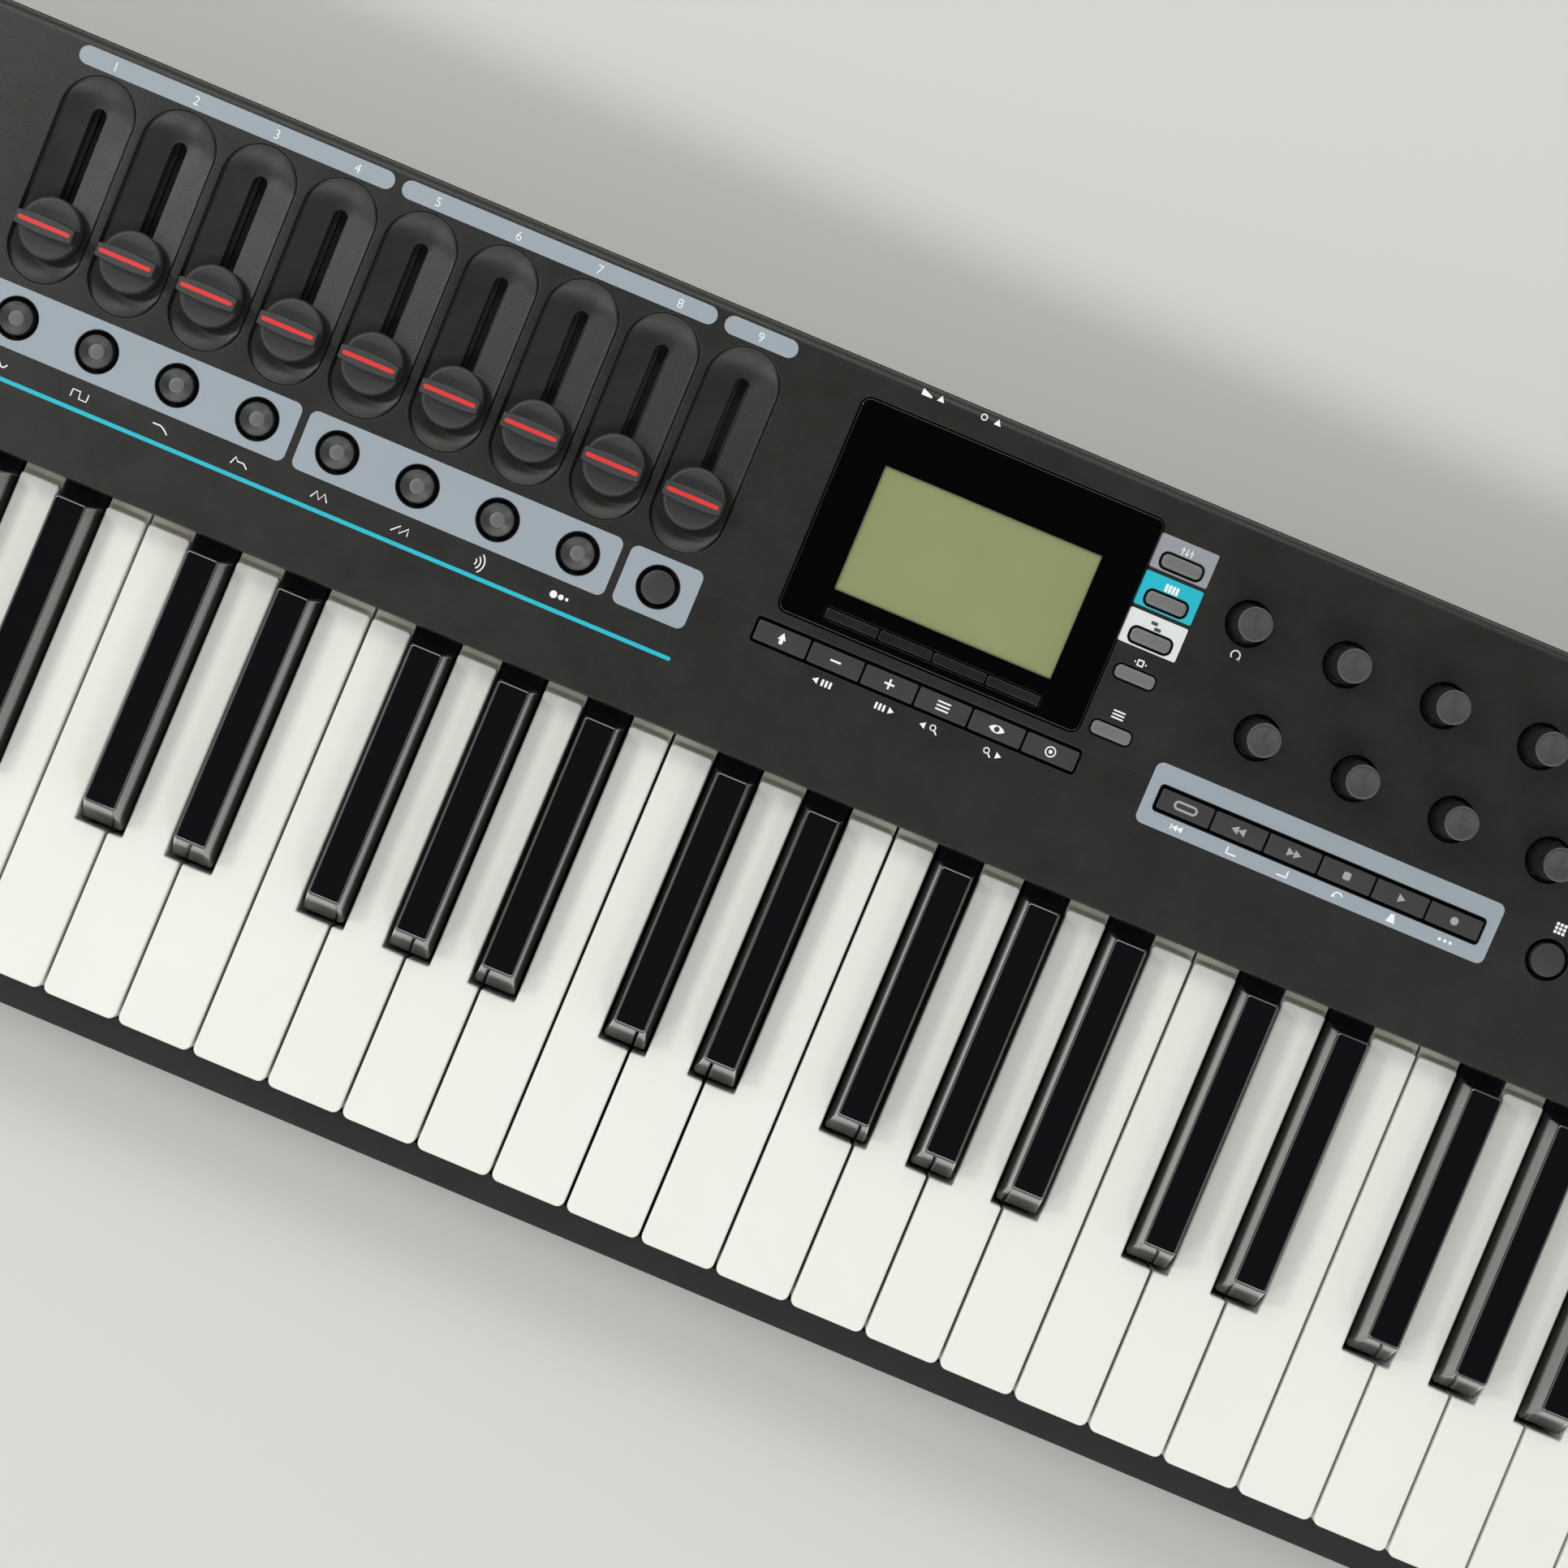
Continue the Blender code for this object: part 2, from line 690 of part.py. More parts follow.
def build_case():
    """A shell with a bay for the keys, a sunk face for the sockets and a stiffening shelf over them."""
    case = part("bottom_case", side_slab(case_profile(), -LENGTH / 2, LENGTH / 2), "case")
    plan = slab([rounded((0, 0), (LENGTH, DEPTH), CORNER)], 0, 100 * MM)
    combine(case, plan, "INTERSECT")
    cut(case, slab([case_hollow()], FLOOR, 100 * MM))
    cut(
        case,
        block((BAY_LEFT, -DEPTH / 2 + WALL, FLOOR), (BAY_RIGHT, LIP_REAR + MM, LIP_TOP - LIP_THICK)),
        block((BAY_LEFT, -DEPTH / 2 - MM, LIP_TOP), (BAY_RIGHT, LIP_REAR + MM, 80 * MM)),
    )
    face_left, face_right = PEDAL_XS[0] - 12 * MM, SWITCH_X + 12 * MM
    face_low, face_high = SOCKET_Z - 13 * MM, SOCKET_Z + 14 * MM
    back = RECESSED_FACE - WALL
    add(
        case,
        block(
            (face_left - WALL, back, face_low - WALL),
            (face_right + WALL, DEPTH / 2 - MM, face_high + WALL),
        ),
    )
    shelf_low, shelf_high = SOCKET_Z + 12.2 * MM, SOCKET_Z + 14.7 * MM
    add(case, block((face_left, back - 12.5 * MM, shelf_low), (face_right, back + 0.5 * MM, shelf_high)))
    cut(case, block((face_left, RECESSED_FACE, face_low), (face_right, DEPTH / 2 + MM, face_high)))
    front, rear = back - MM, RECESSED_FACE + MM
    holes = [rear_drum(5 * MM, x, SOCKET_Z, front, rear) for x in PEDAL_XS]
    holes.append(rear_drum(8 * MM, MIDI_X, SOCKET_Z, front, rear))
    holes.append(rear_drum(4.6 * MM, POWER_X, SOCKET_Z, front, rear))
    holes.append(bar(USB_X, 6.2 * MM, (front, rear), around(SOCKET_Z, 5.7 * MM)))
    holes.append(bar(SWITCH_X, 6.3 * MM, (front, rear), around(SOCKET_Z, 9.4 * MM)))
    cut(case, *holes)


def build_feet():
    for name, (x, y) in FEET.items():
        part(name, drum(FOOT_RADIUS, (x, y, 0), (x, y, FOOT_HEIGHT - GAP), 20, FOOT_RADIUS + MM), "rubber")


# Main board with its sockets, and the power switch


def build_main_board():
    low = 31 * MM
    high = low + BOARD_THICK
    root = high - 0.5 * MM
    back = RECESSED_FACE - WALL - 0.5 * MM
    face = back - 0.2 * MM
    board = part("main_board", block((40 * MM, 70 * MM, low), (190 * MM, back, high)), "board")
    solids = [bar(x, 7 * MM, (back - 30 * MM, face), (root, 53 * MM)) for x in PEDAL_XS]
    solids.append(bar(MIDI_X, 10 * MM, (back - 14 * MM, face), (root, 56 * MM)))
    solids.append(bar(USB_X, 6 * MM, (back - 17 * MM, face), (root, 51 * MM)))
    solids.append(bar(POWER_X, 5 * MM, (back - 14 * MM, face), (root, 51 * MM)))
    solids.append(bar(SWITCH_X, 7 * MM, (back - 20 * MM, back - 7 * MM), (root, 55 * MM)))
    solids.append(bar(78 * MM, 8 * MM, (76 * MM, 92 * MM), (root, high + 2 * MM)))
    solids.append(bar(135 * MM, 15 * MM, (76 * MM, 84 * MM), (root, high + 8 * MM)))
    for x in (46 * MM, 184 * MM):
        for y in (76 * MM, 112 * MM):
            solids.append(drum(3 * MM, (x, y, FLOOR + GAP), (x, y, low + 0.5 * MM), 8))
    add(board, *solids)
    mouth = back + MM
    holes = [rear_drum(3.3 * MM, x, SOCKET_Z, back - 26 * MM, mouth, 12) for x in PEDAL_XS]
    holes.append(rear_drum(6.8 * MM, MIDI_X, SOCKET_Z, back - 9 * MM, mouth))
    holes.append(rear_drum(3.1 * MM, POWER_X, SOCKET_Z, back - 10 * MM, mouth, 12))
    holes.append(bar(USB_X, 4.3 * MM, (back - 13 * MM, mouth), around(SOCKET_Z, 4 * MM)))
    cut(board, *holes)


def build_switch():
    """A rocker whose face is two flats that meet at the pivot."""
    pivot = Matrix.Translation((SWITCH_X, RECESSED_FACE - 5 * MM, SOCKET_Z))
    half = 8.1 * MM
    outline = [(-MM, -half), (4.4 * MM, -half), (5.4 * MM, -0.5 * MM), (6.9 * MM, half), (-MM, half)]
    part("power_rocker", side_slab(outline, -5.6 * MM, 5.6 * MM), "button", pivot)


# Top panel


def fader_x(index):
    return FADER_FIRST + index * FADER_PITCH


def encoder_places():
    places = []
    for row, y in enumerate(ENCODER_ROWS):
        places += [(ENCODER_FIRST_X + row * ENCODER_STAGGER + i * ENCODER_PITCH, y) for i in range(4)]
    return places


def panel_outline(inset):
    """The panel's plan: a strip behind the keys, the left block and the right cheek."""
    side = LENGTH / 2 - RIM - inset
    rear = slope(DEPTH / 2 - RIM) - inset
    front = slope(-DEPTH / 2 + RIM) + inset
    corner = CORNER - RIM - inset / 2
    bay_left, bay_right = BAY_LEFT - inset, BAY_RIGHT + inset
    points = arc((side - corner, rear - corner), corner, 0, 90, 3)
    points += arc((-side + corner, rear - corner), corner, 90, 180, 3)
    points += arc((-side + corner, front + corner), corner, 180, 270, 3)
    points += [(bay_left, front), (bay_left, inset), (bay_right, inset), (bay_right, front)]
    points += arc((side - corner, front + corner), corner, 270, 360, 3)
    return points


def grown(size, extra):
    return size[0] + extra, size[1] + extra


def row_centres(centre, count, pitch):
    return [centre + (i - (count - 1) / 2) * pitch for i in range(count)]


def button_holes():
    """Outlines of the holes that go right through the panel, for buttons, knobs, pads and wheels."""
    row = slope(ROUND_BUTTON_Y)
    holes = [circle((fader_x(i), row), ROUND_HOLE_RADIUS) for i in range(FADER_COUNT)]
    holes.append(circle((BANK_BUTTON_X, row), ROUND_HOLE_RADIUS))
    holes += [circle((x, slope(y)), ENCODER_HOLE_RADIUS) for x, y in encoder_places()]
    opening = grown(MODE_CAP, 0.8 * MM)
    holes += [rounded((MODE_X, slope(y)), opening, opening[1] / 2) for y in MODE_YS]
    holes += [rectangle((x, slope(ROW_KEY_Y)), ROW_SLOT) for x in (DISPLAY_X, TRANSPORT_X)]
    opening = grown((PAD_SIZE, PAD_SIZE), 0.8 * MM)
    holes += [rectangle((x, slope(y)), opening) for x in PAD_COLUMNS for y in PAD_ROWS]
    slot = (WHEEL_WIDTH + 1.6 * MM, 47 * MM)
    holes += [rectangle((x, slope(WHEEL_Y)), slot) for x in WHEEL_XS.values()]
    opening = grown(OCTAVE_CAP, 0.8 * MM)
    holes += [rectangle((x, slope(y)), opening) for x in OCTAVE_XS for y in OCTAVE_YS]
    return holes


def wheel_cheek(x):
    """A rib under the panel with an open slot for a wheel's axle."""
    middle, half, slot = slope(WHEEL_Y), 12 * MM, AXLE_RADIUS + GAP
    foot = -WHEEL_DROP - 7 * MM
    outline = [(middle - half, -MM), (middle - half, foot), (middle - slot, foot)]
    outline += arc((middle, -WHEEL_DROP), slot, 180, 0, 6)
    outline += [(middle + slot, foot), (middle + half, foot), (middle + half, -MM)]
    return side_slab(outline, x - 1.25 * MM, x + 1.25 * MM)


def build_panel():
    panel = part("top_panel", slab([panel_outline(0)], -SKIRT, 0), "panel", panel_place())
    cut(panel, slab([panel_outline(PANEL_SKIN)], -SKIRT - MM, -PANEL_SKIN))
    first, last = fader_x(0), fader_x(FADER_COUNT - 1)
    bed = bar(
        (first + last) / 2,
        (last - first + RECESS_WIDTH) / 2 + 3 * MM,
        around(slope(RECESS_Y), RECESS_LENGTH / 2 + 1.5 * MM),
        (-RECESS_DEPTH - PANEL_SKIN, -MM),
    )
    cheeks = []
    for x in WHEEL_XS.values():
        for side in around(x, WHEEL_WIDTH / 2 + 2.2 * MM):
            cheeks.append(wheel_cheek(side))
    add(panel, bed, *cheeks)
    faders = [(fader_x(i), slope(RECESS_Y)) for i in range(FADER_COUNT)]
    recesses = [rounded(place, (RECESS_WIDTH, RECESS_LENGTH), RECESS_WIDTH / 2, 5) for place in faders]
    pocket = rounded((DISPLAY_X, slope(DISPLAY_Y)), grown(DISPLAY_SIZE, 0.6 * MM), 3 * MM)
    cut(panel, slab(recesses, -RECESS_DEPTH, MM), slab([pocket], -1.3 * MM, MM))
    slots = [rounded(place, (SLOT_WIDTH, SLOT_LENGTH), SLOT_WIDTH / 2, 3) for place in faders]
    lcd_hole = rectangle((DISPLAY_X, slope(LCD_Y)), grown(LCD_SIZE, 3 * MM))
    soft_row = (4 * SOFT_KEY_PITCH, SOFT_KEY[1])
    soft_hole = rectangle((DISPLAY_X, slope(SOFT_KEY_Y)), grown(soft_row, 1.8 * MM))
    cut(panel, slab([*slots, *button_holes(), lcd_hole, soft_hole], -SKIRT, 2 * MM))


def build_display():
    place = panel_place(DISPLAY_X, DISPLAY_Y)
    outline = rounded((0, 0), DISPLAY_SIZE, 2.7 * MM)
    bezel = part("display_bezel", slab([outline], -MM, 0.8 * MM), "bezel", place)
    window = rectangle((0, slope(LCD_Y) - slope(DISPLAY_Y)), LCD_SIZE)
    soft_row = (4 * SOFT_KEY_PITCH, SOFT_KEY[1])
    keys = rectangle((0, slope(SOFT_KEY_Y) - slope(DISPLAY_Y)), grown(soft_row, 0.8 * MM))
    cut(bezel, slab([window, keys], -2 * MM, 2 * MM))
    place = panel_place(DISPLAY_X, LCD_Y)
    body = slab([rectangle((0, 0), grown(LCD_SIZE, 6 * MM))], -9 * MM, -PANEL_SKIN - GAP)
    screen = part("lcd_module", body, "screen", place)
    add(screen, slab([rectangle((0, 0), grown(LCD_SIZE, 2 * MM))], -4 * MM, -1.4 * MM))


def build_faders():
    """Round caps with a finger ridge across them and a stem that goes down through the slot."""
    cap = part("cap", drum(CAP_RADIUS, (0, 0, -1.6 * MM), (0, 0, 3.2 * MM), 20), "cap")
    side = 24 * MM
    bulge, tip = 2.6 * MM, 8.8 * MM
    half_angle = math.degrees(math.asin(tip / side)) * 0.98
    ridge = arc((0, bulge - side), side, 90 - half_angle, 90 + half_angle, 6)
    ridge += arc((0, side - bulge), side, 270 - half_angle, 270 + half_angle, 6)
    stem = bar(0, 1.6 * MM, around(0, 2 * MM), (-6.2 * MM, -MM))
    add(cap, slab([ridge], 2 * MM, 8.5 * MM), stem)
    mesh = finished(cap)
    for index in range(FADER_COUNT):
        part(f"fader_cap_{index + 1}", mesh.copy(), "cap", panel_place(fader_x(index), FADER_REST_Y))


def build_encoders():
    top = ENCODER_HEIGHT
    profile = [(0, top), (3.9 * MM, top), (4.8 * MM, top - 0.9 * MM), (5.6 * MM, -1.5 * MM)]
    profile += [(3.3 * MM, -1.5 * MM), (3.3 * MM, 8.5 * MM), (0, 8.5 * MM)]
    mesh = finished(turned("knob", profile, "cap", 16))
    for index, (x, y) in enumerate(encoder_places()):
        part(f"encoder_knob_{index + 1}", mesh.copy(), "cap", panel_place(x, y))


def build_panel_board():
    """The board under the panel, with the slide potentiometers and the encoders on it."""
    low, high = -BOARD_DROP - BOARD_THICK, -BOARD_DROP
    outline = rectangle((42 * MM, slope(85 * MM)), (500 * MM, 86 * MM))
    board = part("panel_board", slab([outline], low, high), "board", panel_place())
    root = high - 0.5 * MM
    bodies = []
    for index in range(FADER_COUNT):
        bodies.append(bar(fader_x(index), 4.5 * MM, around(slope(RECESS_Y), 30 * MM), (root, -6.6 * MM)))
    shafts = []
    for x, y in encoder_places():
        bodies.append(bar(x, 6 * MM, around(slope(y), 6 * MM), (root, -7.5 * MM)))
        shafts.append(drum(3 * MM, (x, slope(y), -8 * MM), (x, slope(y), 8 * MM), 12))
    add(board, *bodies)
    add(board, *shafts)


# Keypads: each is one soft moulding, with its buttons on a common sheet under the panel


def keypad(name, place, sheets, buttons, finish, sheet_low=-5.8 * MM, sheet_high=-4.8 * MM, top=1.2 * MM):
    obj = part(name, slab(sheets, sheet_low, sheet_high), finish, place)
    add(obj, slab(buttons, sheet_high - 0.4 * MM, top))


def build_keypads():
    row = slope(ROUND_BUTTON_Y)
    middle = (fader_x(0) + fader_x(FADER_COUNT - 1)) / 2
    sheet = rectangle((middle, row), ((FADER_COUNT - 1) * FADER_PITCH + 14 * MM, 14 * MM))
    caps = [circle((fader_x(i), row), ROUND_CAP_RADIUS) for i in range(FADER_COUNT)]
    keypad("round_button_pad", panel_place(), [sheet], caps, "button")

    soft = slope(SOFT_KEY_Y)
    sheet = rectangle((DISPLAY_X, soft), (4 * SOFT_KEY_PITCH + 6 * MM, 6 * MM))
    caps = [rectangle((x, soft), SOFT_KEY) for x in row_centres(DISPLAY_X, 4, SOFT_KEY_PITCH)]
    keypad("soft_key_pad", panel_place(), [sheet], caps, "button", -4.8 * MM, -4 * MM)

    row = slope(ROW_KEY_Y)
    sheet = rectangle((DISPLAY_X, row), (ROW_SLOT[0] + 8 * MM, 12 * MM))
    caps = [rectangle((x, row), ROW_KEY) for x in row_centres(DISPLAY_X, 6, ROW_KEY_PITCH)]
    keypad("row_button_pad", panel_place(), [sheet], caps, "button")

    right = BANK_BUTTON_X + 8 * MM
    left = TRANSPORT_X - ROW_SLOT[0] / 2 - 4 * MM
    sheet = rectangle(((left + right) / 2, row), (right - left, 13 * MM))
    caps = [rectangle((x, row), ROW_KEY) for x in row_centres(TRANSPORT_X, 6, ROW_KEY_PITCH)]
    caps.append(circle((BANK_BUTTON_X, row), ROUND_CAP_RADIUS))
    keypad("transport_button_pad", panel_place(), [sheet], caps, "button")

    low, high = slope(MODE_YS[-1]) - 5 * MM, slope(MODE_YS[0]) + 5 * MM
    sheet = rectangle((MODE_X, (low + high) / 2), (15 * MM, high - low))
    caps = [rounded((MODE_X, slope(y)), MODE_CAP, MODE_CAP[1] / 2) for y in MODE_YS]
    keypad("mode_button_pad", panel_place(), [sheet], caps, "grey_button")

    low, high = slope(PAD_ROWS[0]) - 14 * MM, slope(PAD_ROWS[-1]) + 14 * MM
    width = PAD_COLUMNS[-1] - PAD_COLUMNS[0] + 27 * MM
    sheet = rectangle((PAD_COLUMNS[1], (low + high) / 2), (width, high - low))
    caps = [rounded((x, slope(y)), (PAD_SIZE, PAD_SIZE), 2 * MM, 2) for x in PAD_COLUMNS for y in PAD_ROWS]
    keypad("drum_pad_sheet", panel_place(), [sheet], caps, "pad", top=2 * MM)

    low, high = slope(OCTAVE_YS[0]) - 7 * MM, slope(OCTAVE_YS[-1]) + 7 * MM
    left, right = OCTAVE_XS[0] - 12 * MM, OCTAVE_XS[-1] + 12 * MM
    sheet = rectangle(((left + right) / 2, (low + high) / 2), (right - left, high - low))
    caps = [rectangle((x, slope(y)), OCTAVE_CAP) for x in OCTAVE_XS for y in OCTAVE_YS]
    keypad("octave_button_pad", panel_place(), [sheet], caps, "grey_button")


def build_wheels():
    """Wheels on short axles, each with a finger dip in its rim."""
    for name, x in WHEEL_XS.items():
        half = WHEEL_WIDTH / 2
        axle = panel_place(x, WHEEL_Y, -WHEEL_DROP)
        wheel = part(name, side_drum(WHEEL_RADIUS, -half, half, 32), "cap", axle)
        add(wheel, side_drum(AXLE_RADIUS, -half - 4 * MM, half + 4 * MM, 12))
        dip = side_drum(9 * MM, -half - MM, half + MM, 16)
        dip.transform(Matrix.Translation((0, 0, WHEEL_RADIUS + 6 * MM)))
        dip.transform(Matrix.Rotation(WHEEL_DIP_ANGLES[name], 4, "X"))
        cut(wheel, dip)


build_case()
build_feet()
build_keybed()
build_keys()
build_panel()
build_panel_board()
build_display()
build_faders()
build_encoders()
build_keypads()
build_wheels()
build_main_board()
build_switch()
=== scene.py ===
"""The looks of a 49-key keyboard controller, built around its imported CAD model.

Shapes are made in millimetres, and piece() turns them into metres. Panel pieces are made in the control
panel's own space: x along the keys, y up the slope from the panel's front edge, z out of the panel.
"""

import json
import math

import bmesh
import bpy
from mathutils import Matrix, Vector
from mathutils.geometry import tessellate_polygon


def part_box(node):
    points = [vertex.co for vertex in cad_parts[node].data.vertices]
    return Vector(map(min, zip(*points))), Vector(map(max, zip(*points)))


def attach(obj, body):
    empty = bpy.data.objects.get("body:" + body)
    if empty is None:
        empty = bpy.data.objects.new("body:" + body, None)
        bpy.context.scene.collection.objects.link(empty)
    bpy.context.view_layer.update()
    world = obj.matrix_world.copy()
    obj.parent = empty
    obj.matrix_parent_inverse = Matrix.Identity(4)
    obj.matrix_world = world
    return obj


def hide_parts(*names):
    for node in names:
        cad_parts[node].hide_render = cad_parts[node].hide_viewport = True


MM = 0.001
WELD = 0.001

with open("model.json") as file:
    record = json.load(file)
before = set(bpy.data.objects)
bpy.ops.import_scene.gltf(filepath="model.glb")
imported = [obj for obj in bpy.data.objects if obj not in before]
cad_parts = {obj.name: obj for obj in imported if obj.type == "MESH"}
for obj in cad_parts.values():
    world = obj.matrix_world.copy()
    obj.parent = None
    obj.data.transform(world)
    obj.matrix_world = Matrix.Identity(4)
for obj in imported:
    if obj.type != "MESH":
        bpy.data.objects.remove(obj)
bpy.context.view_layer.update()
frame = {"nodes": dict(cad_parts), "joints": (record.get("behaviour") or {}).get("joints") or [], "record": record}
JOINTS = {joint["name"]: joint for joint in frame["joints"]}
OPENINGS = {opening["name"]: opening for opening in frame["record"]["physics"]["openings"]}

# Sizes that the CAD boxes don't give, in millimetres
PANEL_FRONT_Y = 14.5
SKIRT = 8.0
PANEL_SKIN = 2.5
PANEL_ROUND = 2.6
HOLE_ROUND = 0.35
RECESS_WIDTH = 22.0
RECESS_LENGTH = 61.7
RECESS_DEPTH = 2.5
SIDE_RUN = 0.5
SIDE_STEP = 0.45
SLOT_WIDTH = 4.3
ROUND_HOLE_RADIUS = 6.1
ROUND_CAP_RADIUS = 4.9
ENCODER_HOLE_RADIUS = 6.65
LCD_SIZE = (66.6, 37.7)
SOFT_KEY = (16.2, 3.0)
ROW_KEY = (16.0, 6.0)
KEY_PITCH_IN_ROW = 16.6
ROW_SLOT = (100.3, 7.7)
MODE_CAP = (12.0, 4.0)
MODE_DROPS = (0.0, 11.33, 22.66, 33.88, 51.12)
MODE_MARGIN = 5.0
SHEET_MARGIN = 4.0
BANK_MARGIN = 8.0
HOLE_GAP = 0.8
BUTTON_TOP = 1.2
BUTTON_FOOT = -5.0
PAD_SIZE = 23.6
PAD_PITCHES = (27.0, 26.06)
OCTAVE_CAP = (16.0, 7.0)
OCTAVE_PITCHES = (34.0, 18.04)
WHEEL_SLOT = (15.6, 47.0)
PRINT = 0.04

WHITE_PITCH = 23.5
OCTAVE_WIDTH = 7 * WHITE_PITCH
KEY_GAP = 0.9
WHITE_FRONT = -125.2
WHITE_REAR = 12.0
WHITE_TOP = 60.0
WHITE_BOTTOM = 42.0
KEY_EDGE = 0.75
STEP_TOP = 57.5
NOTCH_WIDTH = 14.8
NOTCH_FRONT = -75.3
TAIL_REAR = 32.0
ARM_REAR = 50.0
BLACK_BASE = {"half": 6.45, "front": -73.9, "rear": 10.8, "z": 57.0}
BLACK_HEAD = {"half": 4.85, "front": -68.0, "rear": 9.6, "z": 71.5}
BLACK_FOOT = 49.0
BLACK_TAIL_HALF = 6.2
BLACK_SHIFTS = {1: -2.6, 3: 2.0, 6: -3.6, 8: 0.0, 10: 3.4}
BLACK_AFTER = {1: 1, 3: 2, 6: 4, 8: 5, 10: 6}
WHITE_PLACES = {0: 0, 2: 1, 4: 2, 5: 3, 7: 4, 9: 5, 11: 6}
GROUPS = {"c_e_g_b": (0, 4, 7, 11), "d_f_a": (2, 5, 9), "black": (1, 3, 6, 8, 10)}
ARM_HEIGHTS = {"c_e_g_b": 46.0, "d_f_a": 50.0, "black": 54.0}
NOTE_NAMES = ("c", "c_sharp", "d", "d_sharp", "e", "f", "f_sharp", "g", "g_sharp", "a", "a_sharp", "b")
SINGLE_KEYS_OCTAVE = 3
WALL = 3.0
SUNK_DEPTH = 3.0
BAY_WALL_REAR = 17.0
WHEEL_RADIUS = 25.0
DIP_CENTRE = 31.0
DIP_RADIUS = 9.0
LIP_REAR = -126.0
LIP_TOP = 47.0


# Places, read from the frame


def box(node):
    """Lowest and highest corner of a CAD node, in millimetres."""
    low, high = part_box(node)
    return low / MM, high / MM


def panel_matrix():
    """Panel space, in millimetres, from an encoder's foot and a fader's direction."""
    along = Vector(JOINTS["fader_1_slide"]["axis"])
    foot = Vector(JOINTS["encoder_1_turn"]["pos_m"]) / MM
    tilt = math.atan2(along.z, along.y)
    height = foot.z - (foot.y - PANEL_FRONT_Y) * math.tan(tilt)
    return Matrix.Translation((0, PANEL_FRONT_Y, height)) @ Matrix.Rotation(tilt, 4, "X")


PANEL = panel_matrix()
INTO_PANEL = PANEL.inverted()
WORLD = Matrix.Identity(4)


def panel_box(node):
    """Lowest and highest corner of a CAD node in panel space."""
    points = [INTO_PANEL @ (vertex.co / MM) for vertex in frame["nodes"][node].data.vertices]
    return [Vector([pick(p[i] for p in points) for i in range(3)]) for pick in (min, max)]


def middle(corners):
    return (corners[0] + corners[1]) / 2


def on_panel(point_m):
    """Panel space x and y of a point given in metres."""
    return (INTO_PANEL @ (Vector(point_m) / MM)).to_2d()


def row_of(centre, count, pitch):
    return [centre + (i - (count - 1) / 2) * pitch for i in range(count)]


def grid(centre, columns, rows, pitches):
    """Places column by column, each from the front row to the rear one."""
    xs = row_of(centre.x, columns, pitches[0])
    return [(x, y) for x in xs for y in row_of(centre.y, rows, pitches[1])]


CAPS = [middle(panel_box(f"fader_cap_{i}")) for i in range(1, 10)]
FADER_XS = [cap.x for cap in CAPS]
TRAVEL = [end / MM for end in JOINTS["fader_1_slide"]["range_m"]]
RECESS_Y = CAPS[0].y + sum(TRAVEL) / 2
BUTTON_ROW_Y = middle(panel_box("round_button_pad")).y
DISPLAY = panel_box("display_bezel")
DISPLAY_SIZE = (DISPLAY[1].x - DISPLAY[0].x, DISPLAY[1].y - DISPLAY[0].y)
LCD = middle(panel_box("lcd_module"))
SOFT_ROW = middle(panel_box("soft_key_pad"))
ROW_KEYS = middle(panel_box("row_button_pad"))
TRANSPORT_BOX = panel_box("transport_button_pad")
TRANSPORT_X = TRANSPORT_BOX[0].x + SHEET_MARGIN + ROW_SLOT[0] / 2
BANK_X = TRANSPORT_BOX[1].x - BANK_MARGIN
MODE_BOX = panel_box("mode_button_pad")
MODE_X = middle(MODE_BOX).x
MODE_YS = [MODE_BOX[1].y - MODE_MARGIN - drop for drop in MODE_DROPS]
ENCODERS = [on_panel(JOINTS[f"encoder_{i}_turn"]["pos_m"]) for i in range(1, 9)]
PADS = middle(panel_box("drum_pad_sheet"))
PAD_PLACES = grid(PADS, 3, 4, PAD_PITCHES)
OCTAVES = middle(panel_box("octave_button_pad"))
OCTAVE_PLACES = grid(OCTAVES, 2, 2, OCTAVE_PITCHES)
WHEELS = {name: middle(panel_box(name)) for name in ("pitch_wheel", "mod_wheel")}
KEYS_LEFT = box("keys_c_e_g_b_1")[0].x - KEY_GAP / 2
BAY_LEFT = KEYS_LEFT - 0.5
BAY_RIGHT = box("keys_c_e_g_b_4")[1].x + KEY_GAP / 2 + 0.5
CASE_LOW, CASE_HIGH = box("bottom_case")


def opening_middle(name):
    low, high = OPENINGS[name]["box_m"]
    return (Vector(low) + Vector(high)) / 2 / MM


SOCKETS = {
    "pedal_1": opening_middle("expression_pedal_socket"),
    "pedal_2": opening_middle("foot_switch_socket"),
    "midi": opening_middle("midi_socket"),
    "usb": opening_middle("usb_socket"),
    "power": opening_middle("power_socket"),
}
SOCKET_Z = SOCKETS["midi"].z
SOCKET_FACE = CASE_HIGH.y - SUNK_DEPTH
SWITCH_X = middle(box("power_rocker")).x
SCREW_PLACES = [(x, y) for x in (-372, -250, -125, 0, 125, 250, 372) for y in (-88, 88)]
LEG_PITCH = 1.27
CAPACITORS = ((120, 80), (129, 80), (140, 90), (168, 84))
BOARD_CHIPS = ((78, 84, 16, 16, 1.6), (104, 84, 9, 13, 1.4), (154, 84, 8, 11, 1.4), (60, 82, 7, 10, 1.4))


# Outlines: lists of points (x, y), anticlockwise


def arc(centre, radius, start, end, steps):
    """Points from angle start to angle end, in degrees, ends included."""
    angles = [math.radians(start + (end - start) * i / steps) for i in range(steps + 1)]
    return [(centre[0] + radius * math.cos(a), centre[1] + radius * math.sin(a)) for a in angles]


def circle(centre, radius, steps=40):
    return arc(centre, radius, 0, 360, steps)[:-1]


def distinct(points):
    """The points without any that falls on the one before it."""
    return [p for i, p in enumerate(points) if math.dist(p, points[i - 1]) > WELD]


def grown(size, by):
    return size[0] + by, size[1] + by


